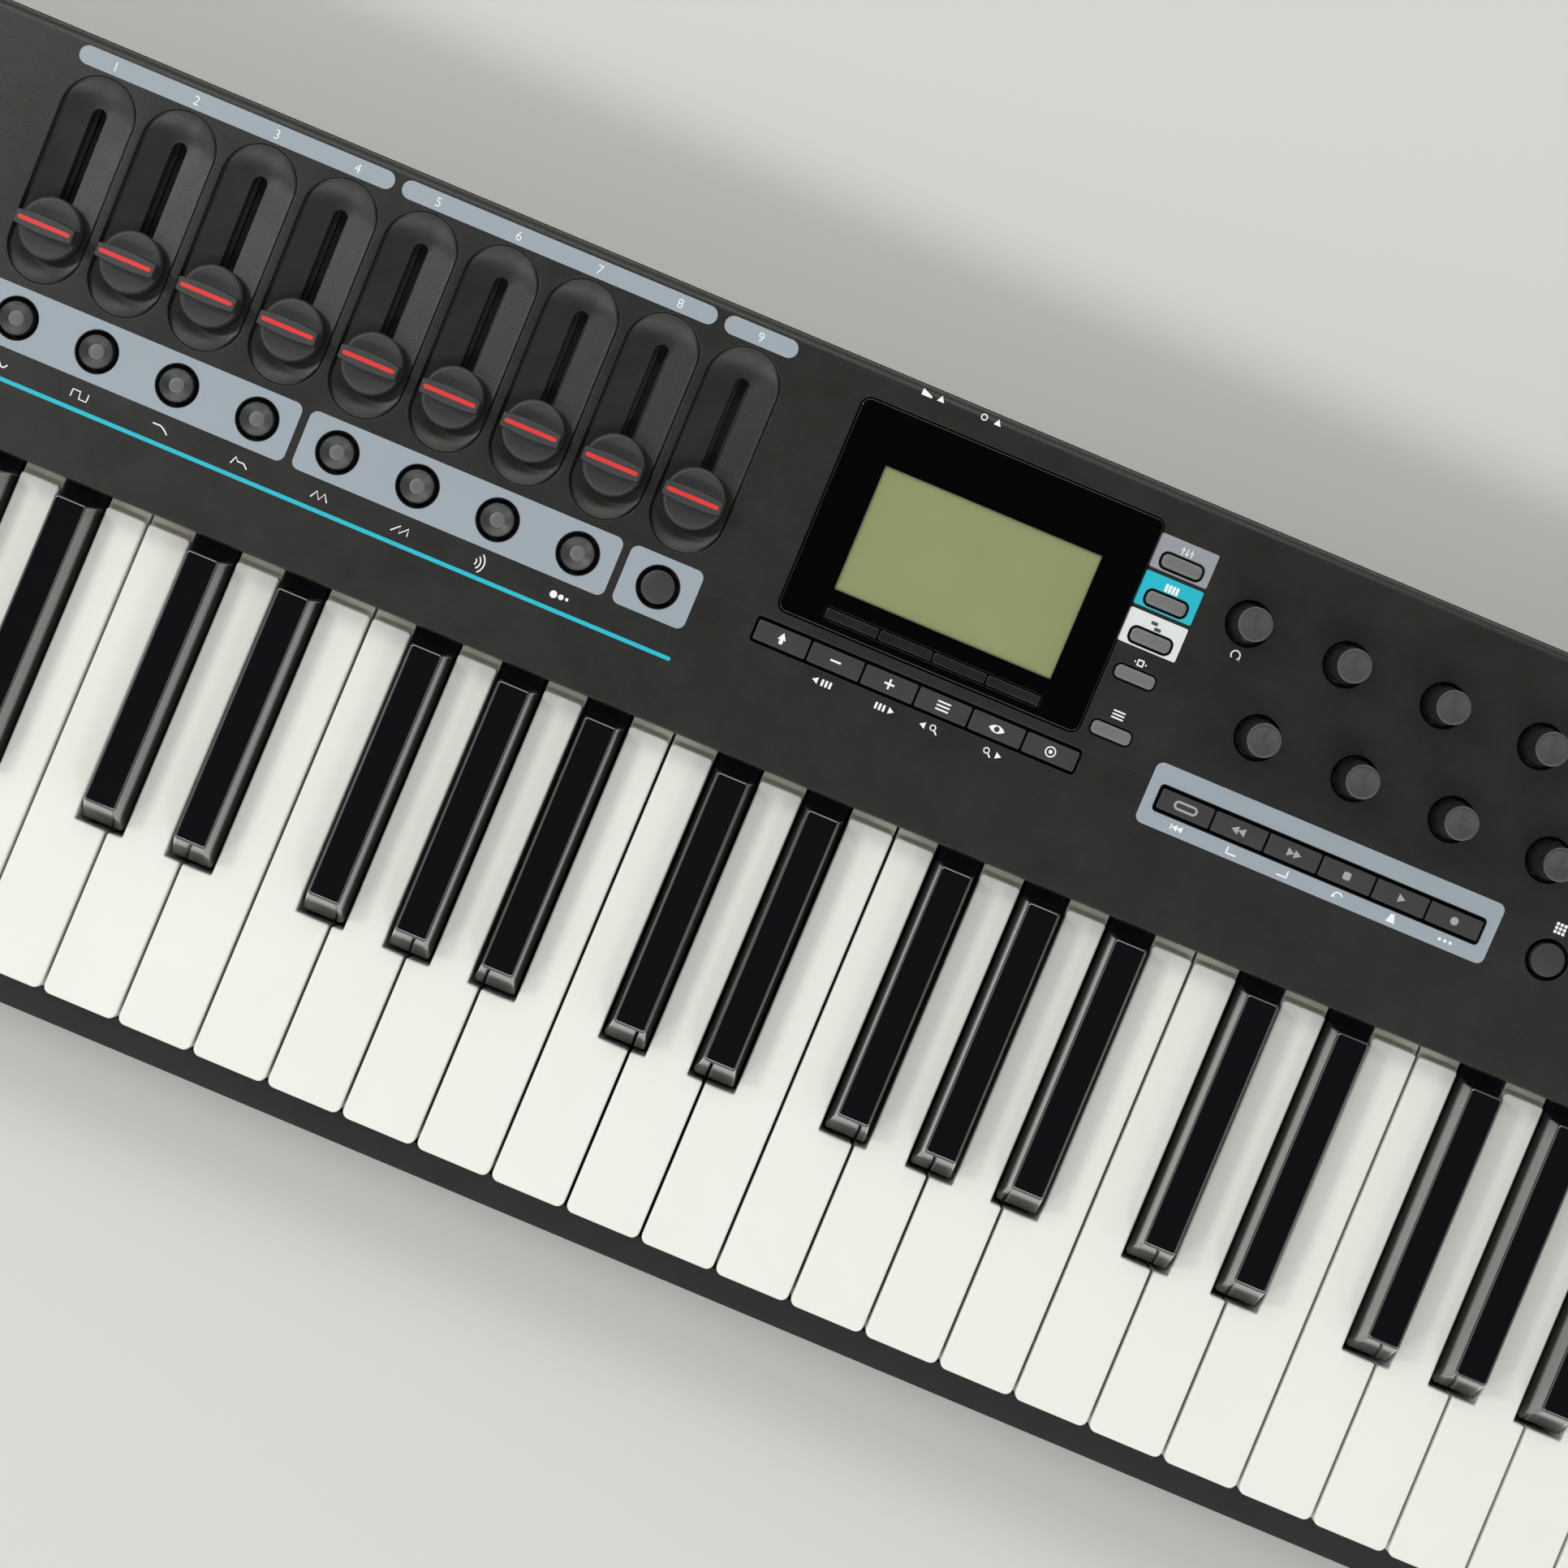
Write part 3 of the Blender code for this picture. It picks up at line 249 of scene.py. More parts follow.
def rounded(centre, size, radius, steps=6):
    """A rectangle with round corners, or a stadium where the radius is half the width."""
    x, y = size[0] / 2 - radius, size[1] / 2 - radius
    points = []
    for sx, sy, start in ((1, 1, 0), (-1, 1, 90), (-1, -1, 180), (1, -1, 270)):
        points += arc((centre[0] + sx * x, centre[1] + sy * y), radius, start, start + 90, steps)
    return distinct(points)


def inset(outline, distances):
    """The outline with each edge moved inwards by its distance. One number serves for all edges."""
    count = len(outline)
    if isinstance(distances, (int, float)):
        distances = [distances] * count
    moved = []
    for i in range(count):
        before, here, after = (Vector(outline[(i + k) % count]) for k in (-1, 0, 1))
        first = (here - before).normalized().orthogonal()
        second = (after - here).normalized().orthogonal()
        a, b = distances[i - 1], distances[i]
        turn = first.x * second.y - first.y * second.x
        if abs(turn) < 1e-3:
            shift = (first * a + second * b) / 2
        else:
            shift = Vector((a * second.y - b * first.y, b * first.x - a * second.x)) / turn
        moved.append(tuple(here + shift))
    return moved


def stroke(points, width):
    """The outline of a line of that width through the points."""
    half = width / 2
    sides = ([], [])
    for i, point in enumerate(points):
        ahead = Vector(points[min(i + 1, len(points) - 1)]) - Vector(points[max(i - 1, 0)])
        across = ahead.normalized().orthogonal() * half
        sides[0].append(tuple(Vector(point) - across))
        sides[1].append(tuple(Vector(point) + across))
    return sides[0] + sides[1][::-1]


def moved(outlines, x, y, scale=1.0):
    return [[(x + px * scale, y + py * scale) for px, py in outline] for outline in outlines]


# Meshes


def mesh_from(work, name="shape"):
    bmesh.ops.remove_doubles(work, verts=work.verts, dist=WELD)
    bmesh.ops.recalc_face_normals(work, faces=work.faces)
    made = bpy.data.meshes.new(name)
    work.to_mesh(made)
    work.free()
    return made


def level(outline, z):
    return [(x, y, z) for x, y in outline]


def skin(work, rings, first_cap=False, last_cap=False):
    """Faces between rings that have the same number of points. Gives the rings' vertices."""
    layers = [[work.verts.new(point) for point in ring] for ring in rings]
    for lower, upper in zip(layers, layers[1:]):
        for i in range(len(lower)):
            work.faces.new((lower[i - 1], lower[i], upper[i], upper[i - 1]))
    if first_cap:
        work.faces.new(layers[0][::-1])
    if last_cap:
        work.faces.new(layers[-1])
    return layers


def loft(rings):
    work = bmesh.new()
    skin(work, rings, True, True)
    return mesh_from(work)


def hoop(rings):
    """A surface through the rings, without caps. It closes where the last ring is the first again."""
    work = bmesh.new()
    skin(work, rings)
    return mesh_from(work)


def edge_rings(outline, high, width, height=None, steps=4, sign=1):
    """Rings that round an upper edge: from the wall to the top face. sign -1 is for a hole."""
    height = width if height is None else height
    rings = []
    for k in range(steps + 1):
        angle = math.pi / 2 * k / steps
        if isinstance(width, list):
            shift = [sign * w * (1 - math.cos(angle)) for w in width]
        else:
            shift = sign * width * (1 - math.cos(angle))
        rings.append(level(inset(outline, shift), high - height * (1 - math.sin(angle))))
    return rings


def plate(outline, low, high, edge=0.3, steps=3):
    """A solid of that outline with a round upper edge."""
    return loft([level(outline, low), *edge_rings(outline, high, edge, steps=steps)])


def perforated(outer, holes, low, high, outer_edge, outer_height, hole_edge, skirt=None):
    """A plate with holes whose upper edges are round. skirt is (depth, inner outline)."""
    work = bmesh.new()
    rings = edge_rings(outer, high, outer_edge, outer_height, 6)
    if skirt:
        rings = [level(skirt[1], low), level(skirt[1], -skirt[0]), level(outer, -skirt[0]), *rings]
    else:
        rings = [level(outer, low), *rings]
    loops = [skin(work, rings)]
    for hole in holes:
        loops.append(skin(work, [level(hole, low), *edge_rings(hole, high, hole_edge, None, 3, -1)]))
    for side in (0, -1):
        verts = [vert for layers in loops for vert in layers[side]]
        flat = tessellate_polygon([[vert.co for vert in layers[side]] for layers in loops])
        for triangle in flat:
            work.faces.new([verts[i] for i in triangle])
    return mesh_from(work)


def turned(profile, steps=48):
    """A solid of revolution about z: (radius, z) from the axis below, out and up to the axis above."""
    return loft(turned_rings(profile, steps))


def turned_rings(profile, steps):
    return [level(circle((0, 0), max(radius, WELD / 10), steps), z) for radius, z in profile]


def at_rear(mesh, x, y=SOCKET_FACE):
    """A mesh made about z, turned so that its z points to the rear, at the sockets' height."""
    made = mesh.copy()
    made.transform(Matrix.Translation((x, y, SOCKET_Z)) @ Matrix.Rotation(-math.pi / 2, 4, "X"))
    return made


def drum(radius, low, high, steps=40, edge=0.0):
    if edge:
        rim = arc((radius - edge, high - edge), edge, 0, 90, 3)
        return turned([(0, low), (radius, low), *rim, (0, high)], steps)
    return turned([(0, low), (radius, low), (radius, high), (0, high)], steps)


def tube(outer, inner, low, high, edge=0.2, steps=40):
    """A ring with a hole, whose upper edges are round."""
    profile = [(inner, low), (outer, low), *arc((outer - edge, high - edge), edge, 0, 90, 3)]
    profile += [*arc((inner + edge, high - edge), edge, 90, 180, 3), (inner, low)]
    return hoop(turned_rings(profile, steps))


def side_slab(outline, low, high):
    """An outline in (y, z), extruded from x low to x high."""
    return loft([[(low, y, z) for y, z in outline], [(high, y, z) for y, z in outline]])


def block(low, high, edge=0.0):
    centre = ((low[0] + high[0]) / 2, (low[1] + high[1]) / 2)
    size = (high[0] - low[0], high[1] - low[1])
    outline = rounded(centre, size, max(edge, 0.05), 2 if edge else 1)
    return plate(outline, low[2], high[2], max(edge, 0.02) * 0.9, 2)


def flat_shapes(outlines, low=0.0, high=PRINT):
    """Outlines given thickness. An outline inside another is a hole."""
    curve = bpy.data.curves.new("outline", "CURVE")
    curve.dimensions = "2D"
    curve.fill_mode = "BOTH"
    curve.extrude = (high - low) / 2
    for outline in outlines:
        spline = curve.splines.new("POLY")
        spline.points.add(len(outline) - 1)
        for point, (x, y) in zip(spline.points, outline):
            point.co = (x, y, 0, 1)
        spline.use_cyclic_u = True
    return mesh_of(curve, (0, 0, (low + high) / 2))


def numeral(text, x, y, height):
    letter = bpy.data.curves.new("numeral", "FONT")
    letter.body = text
    letter.size = height * 1.35
    letter.align_x = "CENTER"
    letter.extrude = PRINT / 2
    letter.offset = -0.035
    return mesh_of(letter, (x, y - height / 2, PRINT * 1.5))


def add_object(name, data):
    obj = bpy.data.objects.new(name, data)
    bpy.context.scene.collection.objects.link(obj)
    return obj


def evaluated_mesh(obj):
    """The object's mesh with its modifiers applied, or a curve turned into a mesh."""
    seen = obj.evaluated_get(bpy.context.evaluated_depsgraph_get())
    return bpy.data.meshes.new_from_object(seen)


def mesh_of(curve, shift):
    obj = add_object("curve", curve)
    made = evaluated_mesh(obj)
    bpy.data.objects.remove(obj)
    made.transform(Matrix.Translation(shift))
    work = bmesh.new()
    work.from_mesh(made)
    return mesh_from(work)


def shifted(mesh, x=0.0, y=0.0, z=0.0):
    made = mesh.copy()
    made.transform(Matrix.Translation((x, y, z)))
    return made


def combined(mesh, operation, *tools):
    """The mesh with the tools taken away or added, by an exact Boolean."""
    body = add_object("body", mesh)
    tool = add_object("tool", joined([(t, None) for t in tools]))
    modifier = body.modifiers.new("Combine", "BOOLEAN")
    modifier.operation = operation
    modifier.solver = "EXACT"
    modifier.object = tool
    bpy.context.view_layer.update()
    made = evaluated_mesh(body)
    bpy.data.objects.remove(body)
    bpy.data.objects.remove(tool)
    return made


def joined(parts):
    """One mesh of several, each with its own material."""
    finishes = []
    work = bmesh.new()
    for mesh, finish in parts:
        if finish not in finishes:
            finishes.append(finish)
        start = len(work.faces)
        work.from_mesh(mesh)
        work.faces.ensure_lookup_table()
        for face in work.faces[start:]:
            face.material_index = finishes.index(finish)
    made = bpy.data.meshes.new("joined")
    work.to_mesh(made)
    work.free()
    for finish in finishes:
        if finish is not None:
            made.materials.append(finish)
    return made


def round_edges(obj, width, segments, angle):
    rounding = obj.modifiers.new("Round", "BEVEL")
    rounding.width = width * MM
    rounding.segments = segments
    rounding.limit_method = "ANGLE"
    rounding.angle_limit = math.radians(angle)
    return rounding


def piece(name, parts, body="root", place=WORLD, replaces=(), sharp=38, bevel=0.0):
    """A finished object that rides on a body. parts are (mesh, material), in millimetres."""
    mesh = joined(parts)
    mesh.name = name
    mesh.transform(Matrix.Scale(MM, 4))
    mesh.shade_smooth()
    mesh.set_sharp_from_angle(angle=math.radians(sharp))
    obj = add_object(name, mesh)
    obj.matrix_world = Matrix.Translation(place.translation * MM) @ place.to_3x3().to_4x4()
    if bevel:
        round_edges(obj, bevel, 3, 38).harden_normals = True
    normals = obj.modifiers.new("Normals", "WEIGHTED_NORMAL")
    normals.keep_sharp = True
    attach(obj, body)
    if replaces:
        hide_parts(*replaces)
    return obj


# Materials


def new_material(name, colour, roughness, settings=None):
    made = bpy.data.materials.new(name)
    made.use_nodes = True
    shader = made.node_tree.nodes["Principled BSDF"]
    shader.inputs["Base Color"].default_value = (*colour, 1)
    shader.inputs["Roughness"].default_value = roughness
    for socket, value in (settings or {}).items():
        shader.inputs[socket].default_value = value
    return made


def texture(tree, kind, size, **inputs):
    """A texture in the piece's own space, whose features are about size millimetres across."""
    node = tree.nodes.new(kind)
    space = tree.nodes.new("ShaderNodeTexCoord")
    tree.links.new(space.outputs["Object"], node.inputs["Vector"])
    node.inputs["Scale"].default_value = 1 / (size * MM)
    for socket, value in inputs.items():
        node.inputs[socket].default_value = value
    return node


def vary_colour(made, colour, amount, size):
    """Slow, slight change of colour over the surface."""
    tree = made.node_tree
    noise = texture(tree, "ShaderNodeTexNoise", size, Detail=4.0, Roughness=0.6)
    mix = tree.nodes.new("ShaderNodeMix")
    mix.data_type = "RGBA"
    mix.inputs["A"].default_value = (*[c * (1 - amount) for c in colour], 1)
    mix.inputs["B"].default_value = (*[min(1, c * (1 + amount)) for c in colour], 1)
    tree.links.new(noise.outputs["Fac"], mix.inputs["Factor"])
    tree.links.new(mix.outputs["Result"], tree.nodes["Principled BSDF"].inputs["Base Color"])


def vary_roughness(made, low, high, size):
    """Patches of handling and dust: roughness from low to high."""
    tree = made.node_tree
    noise = texture(tree, "ShaderNodeTexNoise", size, Detail=6.0, Roughness=0.7)
    spread = tree.nodes.new("ShaderNodeMapRange")
    spread.inputs["From Min"].default_value = 0.3
    spread.inputs["From Max"].default_value = 0.7
    spread.inputs["To Min"].default_value = low
    spread.inputs["To Max"].default_value = high
    tree.links.new(noise.outputs["Fac"], spread.inputs["Value"])
    tree.links.new(spread.outputs["Result"], tree.nodes["Principled BSDF"].inputs["Roughness"])


def bump(made, node, output, depth, invert=False):
    """Adds a relief of that depth in millimetres over any relief already there."""
    tree = made.node_tree
    relief = tree.nodes.new("ShaderNodeBump")
    relief.inputs["Distance"].default_value = depth * MM
    relief.inputs["Strength"].default_value = 1.0
    relief.invert = invert
    tree.links.new(node.outputs[output], relief.inputs["Height"])
    normal = tree.nodes["Principled BSDF"].inputs["Normal"]
    if normal.is_linked:
        tree.links.new(normal.links[0].from_socket, relief.inputs["Normal"])
    tree.links.new(relief.outputs["Normal"], normal)


def grain(made, size, depth):
    """Leather-like moulded grain: rounded cells with fine noise over them."""
    cells = texture(made.node_tree, "ShaderNodeTexVoronoi", size, Randomness=1.0)
    bump(made, cells, "Distance", depth, invert=True)
    fine = texture(made.node_tree, "ShaderNodeTexNoise", size * 0.6, Detail=3.0)
    bump(made, fine, "Fac", depth * 0.7)


def moulded(name, colour, roughness, size=0.8, depth=0.02, vary=0.06, settings=None):
    made = new_material(name, colour, roughness, settings)
    vary_colour(made, colour, vary, 45)
    vary_roughness(made, roughness - 0.05, roughness + 0.06, 22)
    grain(made, size, depth)
    return made


def smooth_plastic(name, colour, roughness, settings=None, vary=0.03, smudge=0.05, ripple=0.003):
    made = new_material(name, colour, roughness, settings)
    vary_colour(made, colour, vary, 60)
    vary_roughness(made, max(0.02, roughness - smudge), roughness + smudge, 14)
    waves = texture(made.node_tree, "ShaderNodeTexNoise", 6.0, Detail=2.0)
    bump(made, waves, "Fac", ripple)
    return made


def printed(name, colour, roughness=0.5):
    """Ink over the panel's grain."""
    made = new_material(name, colour, roughness)
    vary_colour(made, colour, 0.03, 20)
    grain(made, 0.8, 0.010)
    return made


def metal(name, colour, roughness):
    made = new_material(name, colour, roughness, {"Metallic": 1.0})
    vary_roughness(made, roughness * 0.7, roughness * 1.4, 5)
    scratches = texture(made.node_tree, "ShaderNodeTexNoise", 0.7, Detail=4.0)
    bump(made, scratches, "Fac", 0.002)
    return made


def lathe_rings(made, size, depth):
    """Fine rings round the piece's own z axis."""
    tree = made.node_tree
    waves = texture(tree, "ShaderNodeTexWave", size * 6.3)
    waves.wave_type = "RINGS"
    waves.rings_direction = "Z"
    bump(made, waves, "Fac", depth)


PANEL_PLASTIC = moulded(
    "panel_plastic", (0.0145, 0.0142, 0.0122), 0.37, 0.42, 0.013, settings={"Specular IOR Level": 0.45}
)
CASE_PLASTIC = moulded(
    "case_plastic", (0.0105, 0.0108, 0.0115), 0.46, 0.42, 0.012, settings={"Specular IOR Level": 0.4}
)
WHITE_PLASTIC = smooth_plastic("ivory_plastic", (0.83, 0.828, 0.79), 0.34, {"Coat Weight": 0.15})
# The white keys' own ivory, darkened as painted shade: it colours the key steps under the panel's edge and the
# white keys' arms.
IVORY_PAINTED_SHADE = smooth_plastic("key_step_plastic", (0.56, 0.545, 0.45), 0.5)
LACQUER = {"Coat Weight": 1.0, "Coat Roughness": 0.03, "Coat IOR": 2.1}
BLACK_PLASTIC = smooth_plastic("ebony_plastic", (0.0045, 0.0048, 0.006), 0.07, LACQUER, 0.1, 0.03, 0.002)
FRAME_PLASTIC = moulded("frame_plastic", (0.12, 0.12, 0.125), 0.6, 1.2, 0.02)
CAP_RUBBER = moulded("cap_rubber", (0.03, 0.0305, 0.033), 0.5, 0.35, 0.006)
KNOB_RUBBER = smooth_plastic("knob_plastic", (0.012, 0.0125, 0.014), 0.3)
SPUN = {"Anisotropic": 0.8, "Specular IOR Level": 0.8}
KNOB_TOP = new_material("knob_top", (0.05, 0.051, 0.053), 0.34, SPUN)
BUTTON_PLASTIC = moulded("button_plastic", (0.03, 0.0305, 0.032), 0.45, 0.4, 0.006)
SMOKED_CLEAR = smooth_plastic("smoked_clear", (0.026, 0.0275, 0.029), 0.36)
LIGHT_DOT = smooth_plastic("light_guide", (0.115, 0.12, 0.12), 0.42)
SOFT_PLASTIC = smooth_plastic("soft_key_plastic", (0.011, 0.011, 0.012), 0.3)
DARK_SILICONE = moulded("dark_silicone", (0.006, 0.006, 0.006), 0.8, 0.5, 0.004)
GREY_KEY = smooth_plastic("grey_key", (0.16, 0.165, 0.16), 0.34, {"Coat Weight": 0.2})
PAD_RUBBER = moulded("pad_rubber", (0.05, 0.05, 0.052), 0.72, 0.5, 0.012)
FOOT_RUBBER = moulded("foot_rubber", (0.03, 0.03, 0.03), 0.85, 0.9, 0.02)
GLOSS_BLACK = smooth_plastic("gloss_black", (0.0014, 0.0014, 0.0017), 0.06, None, 0.1, 0.03)
RED_INSERT = smooth_plastic("red_insert", (0.74, 0.035, 0.03), 0.35)
LCD_GREEN = moulded("lcd_green", (0.245, 0.277, 0.125), 0.4, 0.3, 0.003, 0.05)
BLUE_GREY_INK = printed("blue_grey_ink", (0.30, 0.355, 0.405))
CYAN_INK = printed("cyan_ink", (0.004, 0.46, 0.60))
WHITE_INK = printed("white_ink", (0.86, 0.88, 0.88))
PALE_INK = printed("pale_ink", (0.70, 0.74, 0.75))
LILAC_GREY_INK = printed("lilac_grey_ink", (0.285, 0.30, 0.335))
DARK_INK = printed("dark_ink", (0.05, 0.06, 0.07))
ICON_GREY = printed("icon_grey", (0.34, 0.36, 0.35))
SOLDER_MASK = moulded("solder_mask", (0.008, 0.075, 0.035), 0.32, 2.0, 0.01, 0.25)
CHIP_BLACK = moulded("chip_black", (0.012, 0.012, 0.012), 0.5, 0.3, 0.005)
STEEL = metal("steel", (0.55, 0.55, 0.56), 0.3)
BRASS = metal("contact_metal", (0.78, 0.62, 0.36), 0.3)
SCREW_METAL = metal("screw_metal", (0.08, 0.08, 0.085), 0.35)
lathe_rings(KNOB_TOP, 0.12, 0.006)
bump(KNOB_TOP, texture(KNOB_TOP.node_tree, "ShaderNodeTexNoise", 0.3), "Fac", 0.003)


# Icons: outlines about their own centre, in millimetres


def ring(radius, width, centre=(0.0, 0.0), steps=28):
    return [circle(centre, radius, steps), circle(centre, radius - width, steps)]


def bar(x, y, width, height):
    return rounded((x, y), (width, height), min(width, height) * 0.2, 2)


def triangle(x, y, size, angle):
    return arc((x, y), size, angle, angle + 360, 3)[:-1]


def wave(function, width=5.0, height=1.1, steps=24):
    points = [(width * (i / steps - 0.5), height * function(i / steps)) for i in range(steps + 1)]
    return stroke(points, 0.38)


def polyline(*points):
    return stroke(list(points), 0.38)


SINE = [wave(lambda t: math.sin(2 * math.pi * t))]
SQUARE = [polyline((-2.5, -1.1), (-2.4, 1.1), (-0.1, 1.1), (0.1, -1.1), (2.4, -1.1), (2.5, 1.1))]
LOW_PASS = [wave(lambda t: 0.9 - 2.2 * max(0.0, t - 0.45) ** 1.5 * 1.9)]
ENVELOPE = [polyline((-2.5, -1.1), (-1.5, 1.2), (-0.7, 0.1), (1.2, 0.1), (2.5, -1.1))]
ZIGZAG = [polyline((-2.5, -1.1), (-1.2, 1.1), (0.0, -1.1), (1.2, 1.1), (2.5, -1.1))]
SAW = [polyline((-2.5, -1.1), (-0.1, 1.1), (0.05, -1.1), (2.4, 1.1), (2.5, -1.1))]
RIPPLES = [arc((-2.2, 0), r + 0.38, -50, 50, 10) + arc((-2.2, 0), r, 50, -50, 10) for r in (0.9, 2.1, 3.3)]
ECHOES = [circle((x, 0), r, 16) for x, r in ((-2.0, 1.1), (0.3, 0.8), (2.1, 0.5))]
BUTTON_ICONS = (SINE, SQUARE, LOW_PASS, ENVELOPE, ZIGZAG, SAW, RIPPLES, ECHOES)

UP_ARROW = [triangle(0, 0.5, 1.5, 90), bar(0, -0.9, 1.2, 1.4)]
MINUS = [bar(0, 0, 3.4, 0.6)]
PLUS = [[
    (-0.3, -1.6), (0.3, -1.6), (0.3, -0.3), (1.6, -0.3), (1.6, 0.3), (0.3, 0.3),
    (0.3, 1.6), (-0.3, 1.6), (-0.3, 0.3), (-1.6, 0.3), (-1.6, -0.3), (-0.3, -0.3),
]]
LIST = [bar(0, y, 4.2, 0.5) for y in (-1.2, 0, 1.2)]
EYE = [arc((0, -1.9), 3.1, 35, 145, 10) + arc((0, 1.9), 3.1, 215, 325, 10)[1:-1], circle((0, 0), 0.85, 16)]
TARGET = [*ring(1.7, 0.4), circle((0, 0), 0.6, 16)]
ROW_ICONS = (UP_ARROW, MINUS, PLUS, LIST, EYE, TARGET)

REWIND = [triangle(-1.1, 0, 1.5, 180), triangle(1.1, 0, 1.5, 180)]
FORWARD = [triangle(-1.1, 0, 1.5, 0), triangle(1.1, 0, 1.5, 0)]
STOP = [bar(0, 0, 2.4, 2.4)]
PLAY = [triangle(0, 0, 1.5, 0)]
RECORD = [circle((0, 0), 1.25, 24)]
LOOP = [rounded((0, 0), (7.6, 2.9), 1.44), rounded((0, 0), (6.2, 1.5), 0.74)]
TRANSPORT_ICONS = (LOOP, REWIND, FORWARD, STOP, PLAY, RECORD)
START = [bar(-1.6, 0, 0.35, 1.5), triangle(-0.4, 0, 1.0, 180), triangle(1.0, 0, 1.0, 180)]
LEFT_MARK = [bar(-0.9, 0, 0.4, 2.0), bar(0.6, -0.8, 2.4, 0.4)]
RIGHT_MARK = [bar(0.9, 0, 0.4, 2.0), bar(-0.6, -0.8, 2.4, 0.4)]
UNDO = [arc((0, -0.3), 1.4, 20, 160, 10) + arc((0, -0.3), 1.0, 160, 20, 10), triangle(-1.2, -0.3, 0.7, 225)]
METRONOME = [[(-1.2, -1.1), (1.2, -1.1), (0.5, 1.2), (-0.5, 1.2)]]
DOTS = [circle((x, 0), 0.45, 12) for x in (-1.5, 0, 1.5)]
TRANSPORT_NOTES = (START, LEFT_MARK, RIGHT_MARK, UNDO, METRONOME, DOTS)

SLIDER_PLACES = ((-1.5, 0.5), (0, -0.5), (1.5, 0.2))
SLIDERS = [shape for x, y in SLIDER_PLACES for shape in (bar(x, 0, 0.3, 2.6), bar(x, y, 1.0, 0.6))]
PIANO = [bar(x, 0, 0.9, 2.6) for x in (-1.8, -0.6, 0.6, 1.8)]
STACK = [bar(x, y, 2.2, 1.1) for x, y in ((-0.8, 0.8), (0.8, -0.8))]
CHIP = [rounded((0, 0), (size, size), 0.2, 2) for size in (2.2, 1.3)]
CHIP += [bar(x, 0, 0.5, 0.5) for x in (-1.8, 1.8)]
MENU = [bar(0, y, 4.0, 0.5) for y in (-1.1, 0, 1.1)]
PEDAL = [[(-1.6, -0.9), (1.6, -0.9), (1.6, -0.4), (-1.2, 0.9), (-1.6, 0.9)]]
SWITCH = ring(1.0, 0.35, steps=20)
TURN = [arc((0, 0), 1.5, -50, 230, 20) + arc((0, 0), 1.1, 230, -50, 20), triangle(1.15, -1.05, 0.8, -60)]
PAD_GRID = [bar(x, y, 0.9, 0.9) for x in (-1.2, 0, 1.2) for y in (-1.2, 0, 1.2)]
LENS = [*ring(0.95, 0.33, (-0.3, 0.3), 20), stroke([(0.4, -0.4), (1.3, -1.3)], 0.45)]
BANK = [bar(x, 0, 0.7, 2.0) for x in (-1.2, 0, 1.2)]


# Control panel

PANEL_TOP = panel_box("top_panel")
NUMBER_STRIP_Y = RECESS_Y + RECESS_LENGTH / 2 + 3.7
STRIP_HEIGHT = 5.4
FIELD_MARGIN = 11.15
FIELD_HEIGHT = 17.8
ICON_Y = BUTTON_ROW_Y - 13.4
LINE_Y = BUTTON_ROW_Y - 17.7
FADER_SETS = ((0, 3), (4, 7), (8, 8))


def panel_outline(shrink=0.0):
    """The panel's plan, with how round each of its edges is."""
    side = PANEL_TOP[1].x - shrink
    rear = PANEL_TOP[1].y - shrink
    front = PANEL_TOP[0].y + shrink
    corner = 5.5 - shrink / 2
    points = arc((side - corner, rear - corner), corner, 0, 90, 8)
    points += arc((-side + corner, rear - corner), corner, 90, 180, 8)
    points += arc((-side + corner, front + corner), corner, 180, 270, 8)
    before_bay = len(points)
    left, right = BAY_LEFT - shrink, BAY_RIGHT + shrink
    points += [(left, front), (left, shrink), (right, shrink), (right, front)]
    points += arc((side - corner, front + corner), corner, 270, 360, 8)
    edges = [PANEL_ROUND] * len(points)
    for i in range(before_bay, before_bay + 3):
        edges[i] = 0.7
    return points, edges


def panel_holes():
    holes = [rounded((x, RECESS_Y), (RECESS_WIDTH, RECESS_LENGTH), RECESS_WIDTH / 2, 12) for x in FADER_XS]
    holes += [circle((x, BUTTON_ROW_Y), ROUND_HOLE_RADIUS) for x in [*FADER_XS, BANK_X]]
    holes += [circle(tuple(place), ENCODER_HOLE_RADIUS) for place in ENCODERS]
    holes += [rounded((MODE_X, y), grown(MODE_CAP, HOLE_GAP), 1.9) for y in MODE_YS]
    holes += [rounded((x, ROW_KEYS.y), ROW_SLOT, 1.0) for x in (ROW_KEYS.x, TRANSPORT_X)]
    holes += [rounded(place, grown((PAD_SIZE, PAD_SIZE), HOLE_GAP), 2.4) for place in PAD_PLACES]
    holes += [rounded(wheel.to_2d(), WHEEL_SLOT, 2.0) for wheel in WHEELS.values()]
    holes += [rounded(place, grown(OCTAVE_CAP, HOLE_GAP), 1.2) for place in OCTAVE_PLACES]
    holes.append(rounded(middle(DISPLAY).to_2d(), grown(DISPLAY_SIZE, 0.6), 3.0))
    return holes


def build_top_panel():
    outline, edges = panel_outline()
    inner = panel_outline(PANEL_SKIN)[0]
    shell = perforated(
        outline, panel_holes(), -PANEL_SKIN, 0, edges, PANEL_ROUND, HOLE_ROUND, (SKIRT, inner)
    )
    piece("top_shell", [(shell, PANEL_PLASTIC)], place=PANEL, replaces=["top_panel"])


